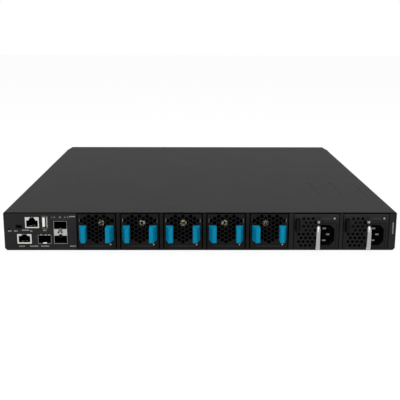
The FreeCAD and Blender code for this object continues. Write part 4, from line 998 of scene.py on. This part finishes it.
# %% Tray sheet with its fold line and side tabs
FOLD_HALF, FOLD_UP, FOLD_HEIGHT = 15 * MM, 3.2 * MM, 0.5 * MM
FOLD_PROUD, FOLD_ROOT = 0.25 * MM, 0.2 * MM
TAB_IN, TAB_OUT, TAB_LEAN = 19.05 * MM, 19.6 * MM, 0.3 * MM
TAB_LOW, TAB_HIGH = 9.4 * MM, 16 * MM
TAB_FROM, TAB_TO = 2.2 * MM, 6 * MM
tray_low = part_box("fan_1_tray")[0]
trays = along_the_row(rounded("fan_1_tray", 0.12, shaping=open_cells), "soft_fan_{}_tray")
fold_floor = tray_low.z + FOLD_UP
fold_model = block("fan_1_fold", (first_axis.x - FOLD_HALF, tray_low.y - FOLD_PROUD, fold_floor),
                   (first_axis.x + FOLD_HALF, tray_low.y + FOLD_ROOT, fold_floor + FOLD_HEIGHT))
soften(fold_model, 0.12)
tabs = []
for side in (-1, 1):
    ends = sorted((first_axis.x + side * TAB_IN, first_axis.x + side * TAB_OUT))
    tabs.append(bent_strip("fan_1_tabs", (ends[0], tray_low.y + TAB_FROM, first_axis.z + TAB_LOW),
                           (ends[1], tray_low.y + TAB_TO, first_axis.z + TAB_HIGH), (0, 1, 0),
                           (side * TAB_LEAN, 0, 0)))
folds = along_the_row(fold_model, "fan_{}_fold")
pairs = along_the_row(join(tabs), "fan_{}_tabs")
for n, tray, fold, pair in zip(FANS, trays, folds, pairs):
    stands_for(tray, f"fan_{n}_tray", tray_coat)
    # The fold strip wears a lighter coat than the tray: a painted highlight along the fold.
    wear(fold, fold_highlight_and_print_coat, f"fan_module_{n}", "module_steel")
    wear(pair, plated_sheet, f"fan_module_{n}", "zinc_sheet")
print(len(trays), "trays with", 2 * len(EXTRA_CELLS), "added cells each")

# %% Grips and lights
GRIP_RELIEF = 0.8 * MM


def slimmer(towards, front):
    """A shaping step that draws a grip's inner side back in front of the tray's face."""
    def shaping(grip):
        edit_faces(grip, lambda centre, normal: normal.x * towards > 0.5 and centre.y < front)
        bpy.ops.transform.translate(value=(-towards * GRIP_RELIEF, 0, 0))
        leave()

    return shaping


for n in FANS:
    softened(f"fan_{n}_light", 0.2, amber_guide)
    for side, towards in (("left", 1), ("right", -1)):
        softened(f"fan_{n}_latch_{side}", 0.5, blue_moulding, 3, slimmer(towards, tray_low.y))
print(len(FANS), "lights and pairs of grips softened")

# %% [markdown]
# A fan body is a moulded square with a round duct and four screw holes, a strut behind the rotor with a boss
# for its bearing, and a plug under it that reaches back to the bay's socket. The duct is carved, because a
# cylinder cut through a block leaves the flat corners that carry the screws. The rotor's hub is a disc with a
# dished front; a blade is a thin block, tapered and twisted, and its copies are turned about the axis.

# %% Fan body: a bevelled block with its duct and screw holes carved through
DUCT_RADIUS = 17.2 * MM
SCREW_INSET, SCREW_RADIUS = 3.2 * MM, 1.5 * MM
BODY_DEPTH, BODY_CUT = 50 * MM, 60 * MM
STRUT_HALF, STRUT_DEPTH, STRUT_INSET = 1.5 * MM, 4 * MM, 1 * MM
BOSS_RADIUS = 5 * MM
PLUG_HALF, PLUG_HEIGHT = 8 * MM, 7 * MM


def fan_body(name, node, axis):
    low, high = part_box(node)
    back = low.y + BODY_DEPTH
    body = block(name, low, (high.x, back, high.z))
    holes = [disc("duct", (axis.x, (low.y + back) / 2, axis.z), DUCT_RADIUS, BODY_CUT, 72)]
    reach = (high.x - low.x) / 2 - SCREW_INSET
    for x in (-1, 1):
        for z in (-1, 1):
            place = (axis.x + x * reach, (low.y + back) / 2, axis.z + z * reach)
            holes.append(disc("screw_hole", place, SCREW_RADIUS, BODY_CUT, 24))
    carve(body, join(holes))
    strut_front = back - STRUT_DEPTH
    strut = block("strut", (axis.x - STRUT_HALF, strut_front, low.z + STRUT_INSET),
                  (axis.x + STRUT_HALF, back, high.z - STRUT_INSET))
    boss = disc("boss", (axis.x, (strut_front + back) / 2, axis.z), BOSS_RADIUS, STRUT_DEPTH)
    plug = block("plug", (axis.x - PLUG_HALF, strut_front, low.z),
                 (axis.x + PLUG_HALF, high.y, low.z + PLUG_HEIGHT))
    for piece in (body, strut, boss, plug):
        soften(piece, 0.4)
    return join([body, strut, boss, plug])


# %% Rotor: a round hub with twisted blades, and the brass ring on its face
HUB_RADIUS = 9 * MM
HUB_DISH = ((1.4, 0), (0.5, -0.5))
RING_RADIUS, RING_STAND, RING_SINK = 3.9 * MM, 0.8 * MM, 0.8 * MM
RING_HOLE = ((2.7, 0), (0.1, -1.2))
RING_RIM = 0.6 * MM
PIVOT_RADIUS, PIVOT_REACH = 2.15 * MM, 2.2 * MM
BLADES = 5
BLADE_HALF, BLADE_ROOT = 0.7 * MM, 1.5 * MM
BLADE_TAPER = (0.55, 0.9, 1)
BLADE_CUTS, BLADE_TWIST = 5, math.radians(-8)


def fan_blade(length, tip, lean):
    """One blade standing up from an axis through the origin: thinner and twisted towards its tip."""
    blade = block("blade", (-BLADE_HALF, -length / 2, HUB_RADIUS - BLADE_ROOT), (BLADE_HALF, length / 2, tip))
    edit_faces(blade, lambda centre, normal: normal.z > 0.9)
    bpy.ops.transform.resize(value=BLADE_TAPER, center_override=(0, 0, tip))
    bpy.ops.mesh.select_all(action="SELECT")
    bpy.ops.mesh.subdivide(number_cuts=BLADE_CUTS)
    leave()
    modify(blade, "SIMPLE_DEFORM", deform_method="TWIST", deform_axis="Z", angle=BLADE_TWIST)
    blade.rotation_euler = (0, 0, -lean)
    settle(blade)
    soften(blade, 0.2)
    return blade


def rotor(name, node, axis, blade_length, tip, lean):
    """A rotor about an axis along Y, with leaning blades, and the ring that sits on its hub."""
    low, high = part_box(node)
    hub_front, hub_back = low.y + RING_STAND, high.y - PIVOT_REACH
    hub = disc(name, (0, 0, 0), HUB_RADIUS, hub_back - hub_front, 64)
    inset_front(hub, *HUB_DISH)
    soften(hub, 0.4)
    pivot = disc("pivot", (0, (hub_back - hub_front + PIVOT_REACH) / 2, 0), PIVOT_RADIUS, PIVOT_REACH, 32)
    soften(pivot, 0.3)
    parts = [hub, pivot, fan_blade(blade_length, tip, lean)]
    for turn in range(1, BLADES):
        other = copied(parts[2], "blade", (0, 0, 0))
        other.rotation_euler = (0, turn * 2 * math.pi / BLADES, 0)
        parts.append(settle(other))
    whole = join(parts)
    whole.location = (axis.x, (hub_front + hub_back) / 2, axis.z)
    settle(whole)
    ring = disc(name + "_ring", (axis.x, hub_front + (RING_SINK - RING_STAND) / 2, axis.z), RING_RADIUS,
                RING_STAND + RING_SINK)
    inset_front(ring, *RING_HOLE)
    soften(ring, 0.25)
    return whole, ring


def dress_rotor(whole, ring, node, finish_of_rotor, finish_of_ring):
    stands_for(whole, node, finish_of_rotor)
    wear(ring, finish_of_ring, body_of[node], "bright_steel")
    hole_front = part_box(node)[0].y + RING_RIM
    wear_inside(ring, port_shadow, lambda centre, normal: normal.y < -0.9 and centre.y > hole_front)


# %% Fan bodies and rotors, modelled once and copied along the row
FAN_BLADE, FAN_TIP, FAN_LEAN = 24 * MM, 15.2 * MM, math.atan(9 / 24)
body_model = fan_body("fan_body_1", "fan_1_housing", first_axis)
rotor_model, ring_model = rotor("rotor_1", "fan_1_rotor", first_axis, FAN_BLADE, FAN_TIP, FAN_LEAN)
bodies = along_the_row(body_model, "fan_body_{}")
wholes = along_the_row(rotor_model, "rotor_{}")
rings = along_the_row(ring_model, "rotor_{}_ring")
for n, body, whole, ring in zip(FANS, bodies, wholes, rings):
    stands_for(body, f"fan_{n}_housing", black_moulding)
    dress_rotor(whole, ring, f"fan_{n}_rotor", black_moulding, turned_brass)
print(len(bodies), "fan bodies and rotors made")

# %% [markdown]
# ## Power supplies
#
# Each supply is a closed sheet case with a field of holes, a mains inlet on its side, a black latch and a
# bright bar handle. The case keeps its frame copy, and only the holes that the frame leaves out are cut.

# %% Holes that the frame leaves out of a supply's face
HOLE_PITCH = 5.15
HOLE_ACROSS = 3.15
HOLE_ROW = HOLE_PITCH * math.sqrt(3) / 2
HOLE_FIELD = (13.3, 23.3)
EXTRA_HOLES = ((1, -0.5), (3, -0.5), (-4, -1), (-4, 0), (-4, 1), (-2, 2), (0, 2), (2, 2))


def open_holes(n):
    """A shaping step that cuts more holes into a case: a bottom row, and one at an end of five rows above."""
    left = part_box(f"psu_{n}_case")[0].x
    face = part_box(f"psu_{n}_inlet")[0].y

    def shaping(case):
        tools = []
        for row, column in EXTRA_HOLES:
            place = (left + (HOLE_FIELD[0] + column * HOLE_PITCH) * MM, face,
                     (HOLE_FIELD[1] + row * HOLE_ROW) * MM)
            tools.append(cell_tool(place, HOLE_ACROSS / math.sqrt(3) * MM, 0))
        carve(case, join(tools))

    return shaping


# %% Case, inlet, pins and latch
for n in SUPPLIES:
    softened(f"psu_{n}_case", 0.2, supply_coat, shaping=open_holes(n))
    inlet = softened(f"psu_{n}_inlet", 0.4, supply_coat)
    wear_inside(inlet, port_shadow, inside_of(f"psu_{n}_inlet"))
    softened(f"psu_{n}_pins", 0.35, pin_metal)
    softened(f"psu_{n}_latch", 0.4, black_moulding)
print(len(SUPPLIES), "supplies softened, with", len(EXTRA_HOLES), "added holes each")

# %% [markdown]
# A supply's status light sits in a dark collar at the upper right of its face, at the end of a faint printed
# line. The collar is a disc whose front is inset twice, the second time inwards; the lens is a smaller disc,
# domed by a wide bevel.

# %% Status light and printed line on each supply
LIGHT_OUT, LIGHT_UP = 19.9 * MM, 37 * MM
COLLAR_RADIUS, COLLAR_DEPTH = 2.2 * MM, 0.5 * MM
COLLAR_DISH = ((0.7, 0), (0.1, -0.2))
LENS_RADIUS, LENS_DEPTH, LENS_PROUD = 1.3 * MM, 0.9 * MM, 0.1 * MM
PRINT_FROM, PRINT_TO = 4 * MM, 16 * MM
PRINT_LOW, PRINT_HIGH = 36.2 * MM, 37 * MM
for n in SUPPLIES:
    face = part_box(f"psu_{n}_inlet")[0].y
    middle = middle_x(f"psu_{n}_case")
    collar = disc(f"supply_{n}_collar", (middle + LIGHT_OUT, face, LIGHT_UP), COLLAR_RADIUS, COLLAR_DEPTH)
    inset_front(collar, *COLLAR_DISH)
    soften(collar, 0.08)
    wear(collar, black_moulding, f"supply_{n}", "black_plastic")
    lens = disc(f"supply_{n}_lens", (middle + LIGHT_OUT, face - LENS_PROUD, LIGHT_UP), LENS_RADIUS,
                LENS_DEPTH)
    soften(lens, 0.35, 3)
    wear(lens, clear_guide, f"supply_{n}", "light_guide")
    line = block(f"supply_{n}_print", (middle + PRINT_FROM, face - INK, PRINT_LOW),
                 (middle + PRINT_TO, face + INK_ROOT, PRINT_HIGH))
    soften(line, INK_ROUND, 1)
    wear(line, fold_highlight_and_print_coat, f"supply_{n}", "white_plastic")
print(len(SUPPLIES), "status lights made")

# %% Supply rotors
SUPPLY_BLADE, SUPPLY_TIP, SUPPLY_LEAN = 12 * MM, 17.2 * MM, math.atan(7 / 12)
for n in SUPPLIES:
    node = f"psu_{n}_rotor"
    whole, ring = rotor(f"supply_rotor_{n}", node, joint_at[f"supply_fan_spin_{n}"], SUPPLY_BLADE, SUPPLY_TIP,
                        SUPPLY_LEAN)
    dress_rotor(whole, ring, node, grey_moulding, grey_moulding)
print(len(SUPPLIES), "supply rotors made")

# %% [markdown]
# The handle is bent from round rod, and it is drawn as a rod is bent: a disc is extruded along the first leg,
# spun round the bend, extruded, spun and extruded again. A pin at each end turns in the case's ears, and a
# black sleeve covers part of each leg. The whole is leant aside, as it rests.

# %% Bent bar handle
BAR_RADIUS, BEND, BEND_STEPS = 2.4 * MM, 4.6 * MM, 12
HANDLE_REACH = 18.8 * MM
FOOT_RISE, TOP_DROP = 1 * MM, 3.2 * MM
PIN_RADIUS = 1.95 * MM
SLEEVE_FROM, SLEEVE_TO, SLEEVE_WALL = 4.2 * MM, 13 * MM, 0.2 * MM
LEAN = math.radians(10)


def bent_bar(name, leg_low, leg_high):
    """A rod with two legs along Y and a grip between them, in front of the origin."""
    bar = settle(added(bpy.ops.mesh.primitive_circle_add, name, vertices=32, radius=BAR_RADIUS,
                       fill_type="NGON", location=(0, BAR_RADIUS, leg_low), rotation=(math.pi / 2, 0, 0)))
    bend_at = BEND - HANDLE_REACH

    def bend(z):
        bpy.ops.mesh.spin(steps=BEND_STEPS, angle=math.pi / 2, center=(0, bend_at, z), axis=(1, 0, 0))

    edit_faces(bar, everywhere)
    pull((0, bend_at - BAR_RADIUS, 0))
    bend(leg_low + BEND)
    pull((0, 0, leg_high - leg_low - 2 * BEND))
    bend(leg_high - BEND)
    pull((0, BAR_RADIUS - bend_at, 0))
    turn_outwards()
    return bar


def bar_handle(name, node, axis):
    low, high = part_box(node)
    leg_low, leg_high = low.z + FOOT_RISE + BAR_RADIUS, high.z - TOP_DROP - BAR_RADIUS
    rods = [bent_bar(name, leg_low, leg_high)]
    for pin_low, pin_high in ((low.z, leg_low), (leg_high, high.z)):
        rods.append(disc("pin", (0, 0, (pin_low + pin_high) / 2), PIN_RADIUS, pin_high - pin_low, 32, "Z"))
    for rod in rods:
        soften(rod, 0.3)
    sleeves = []
    for z in (leg_low, leg_high):
        sleeve = disc(name + "_sleeves", (0, -(SLEEVE_FROM + SLEEVE_TO) / 2, z), BAR_RADIUS + SLEEVE_WALL,
                      SLEEVE_TO - SLEEVE_FROM, 32)
        soften(sleeve, 0.15)
        sleeves.append(sleeve)
    whole, sleeves = join(rods), join(sleeves)
    for piece in (whole, sleeves):
        piece.rotation_euler = (0, 0, -LEAN)
        piece.location = (axis.x, axis.y, 0)
        settle(piece)
    wear(sleeves, black_moulding, body_of[node], "black_plastic")
    return stands_for(whole, node, bright_rod)


for n in SUPPLIES:
    made = bar_handle(f"handle_{n}", f"psu_{n}_handle", joint_at[f"supply_handle_swing_{n}"])
    print(made.name, "measures", [round(length / MM, 1) for length in made.dimensions], "mm")

# %% [markdown]
# ## Stage, light and camera
#
# A pale floor and a white surround show the dark switch as a catalogue does. Camera, mirror and see-through
# rays meet plain white, while the light that falls on the switch stays soft and level. The camera stands low
# in front of the power side, turned very slightly, with a long lens.

# %% White surround and pale floor
SURROUND_LIGHT = 0.7
FLOOR_SIZE, FLOOR_DROP, FLOOR_GLOW = 12, 0.2 * MM, 0.92


def sees_white(tree):
    """One where a ray comes from the camera, a mirror or glass, and nought elsewhere."""
    path = tree.nodes.new("ShaderNodeLightPath")
    seen = path.outputs["Is Camera Ray"]
    for kind in ("Is Glossy Ray", "Is Transmission Ray"):
        either = tree.nodes.new("ShaderNodeMath")
        either.operation = "MAXIMUM"
        tree.links.new(seen, either.inputs[0])
        tree.links.new(path.outputs[kind], either.inputs[1])
        seen = either.outputs["Value"]
    return seen


def white_light(tree, kind, strength):
    """A background or glow of plain white."""
    light = tree.nodes.new(kind)
    light.inputs["Color"].default_value = (1, 1, 1, 1)
    light.inputs["Strength"].default_value = strength
    return light.outputs[0]


def mixed(tree, share, usual, seen):
    """One shader that gives way to another by a share."""
    choose = tree.nodes.new("ShaderNodeMixShader")
    tree.links.new(share, choose.inputs["Fac"])
    tree.links.new(usual, choose.inputs[1])
    tree.links.new(seen, choose.inputs[2])
    return choose.outputs["Shader"]


world = bpy.data.worlds.new("surround")
bpy.context.scene.world = world
world.use_nodes = True
tree = world.node_tree
tree.nodes.clear()
soft = white_light(tree, "ShaderNodeBackground", SURROUND_LIGHT)
white = white_light(tree, "ShaderNodeBackground", 1)
output = tree.nodes.new("ShaderNodeOutputWorld")
tree.links.new(mixed(tree, sees_white(tree), soft, white), output.inputs["Surface"])

floor = added(bpy.ops.mesh.primitive_plane_add, "floor", size=FLOOR_SIZE, location=(0, 0, -FLOOR_DROP))
material, tree, shader = finish("pale_floor", (0.92, 0.92, 0.92), 0.9, specular=0.0)
tint(tree, shader, noise(tree, 300), (0.91, 0.91, 0.91), (0.93, 0.93, 0.93))
scaled = tree.nodes.new("ShaderNodeMath")
scaled.operation = "MULTIPLY"
scaled.inputs[1].default_value = FLOOR_GLOW
tree.links.new(sees_white(tree), scaled.inputs[0])
glow = white_light(tree, "ShaderNodeEmission", 1)
tree.links.new(mixed(tree, scaled.outputs["Value"], shader.outputs["BSDF"], glow),
               tree.nodes["Material Output"].inputs["Surface"])
floor.data.materials.append(material)
print("surround and floor made")

# %% Soft lights
LIGHTS = (("over_light", (0.1, -0.2, 1.8), (0, 0, 0), 1.6, 20),
          ("front_light", (-0.6, -1.7, 1.0), (0, -0.2, 0), 1.2, 8))
for name, place, target, size, power in LIGHTS:
    light = added(bpy.ops.object.light_add, name, type="AREA", location=place)
    light.data.size = size
    light.data.energy = power
    light.rotation_euler = (Vector(target) - Vector(place)).to_track_quat("-Z", "Y").to_euler()
print(len(LIGHTS), "light panels")

# %% Camera where the photograph was taken from
CAMERA_PLACE = (-9.9 * MM, -1014.3 * MM, 243.2 * MM)
CAMERA_PITCH = math.radians(13.27)
CAMERA_YAW = math.radians(0.67)
CAMERA_ROLL = math.radians(0.18)
SENSOR, LENS = 36, 65.28
camera = added(bpy.ops.object.camera_add, "Camera", location=CAMERA_PLACE)
turn = Matrix.Rotation(-CAMERA_YAW, 4, "Z") @ Matrix.Rotation(math.pi / 2 - CAMERA_PITCH, 4, "X")
camera.rotation_euler = (turn @ Matrix.Rotation(CAMERA_ROLL, 4, "Z")).to_euler()
camera.data.sensor_width = SENSOR
camera.data.lens = LENS
bpy.context.scene.camera = camera
bpy.context.scene.view_settings.view_transform = "Standard"
print("camera set,", LENS, "mm lens")
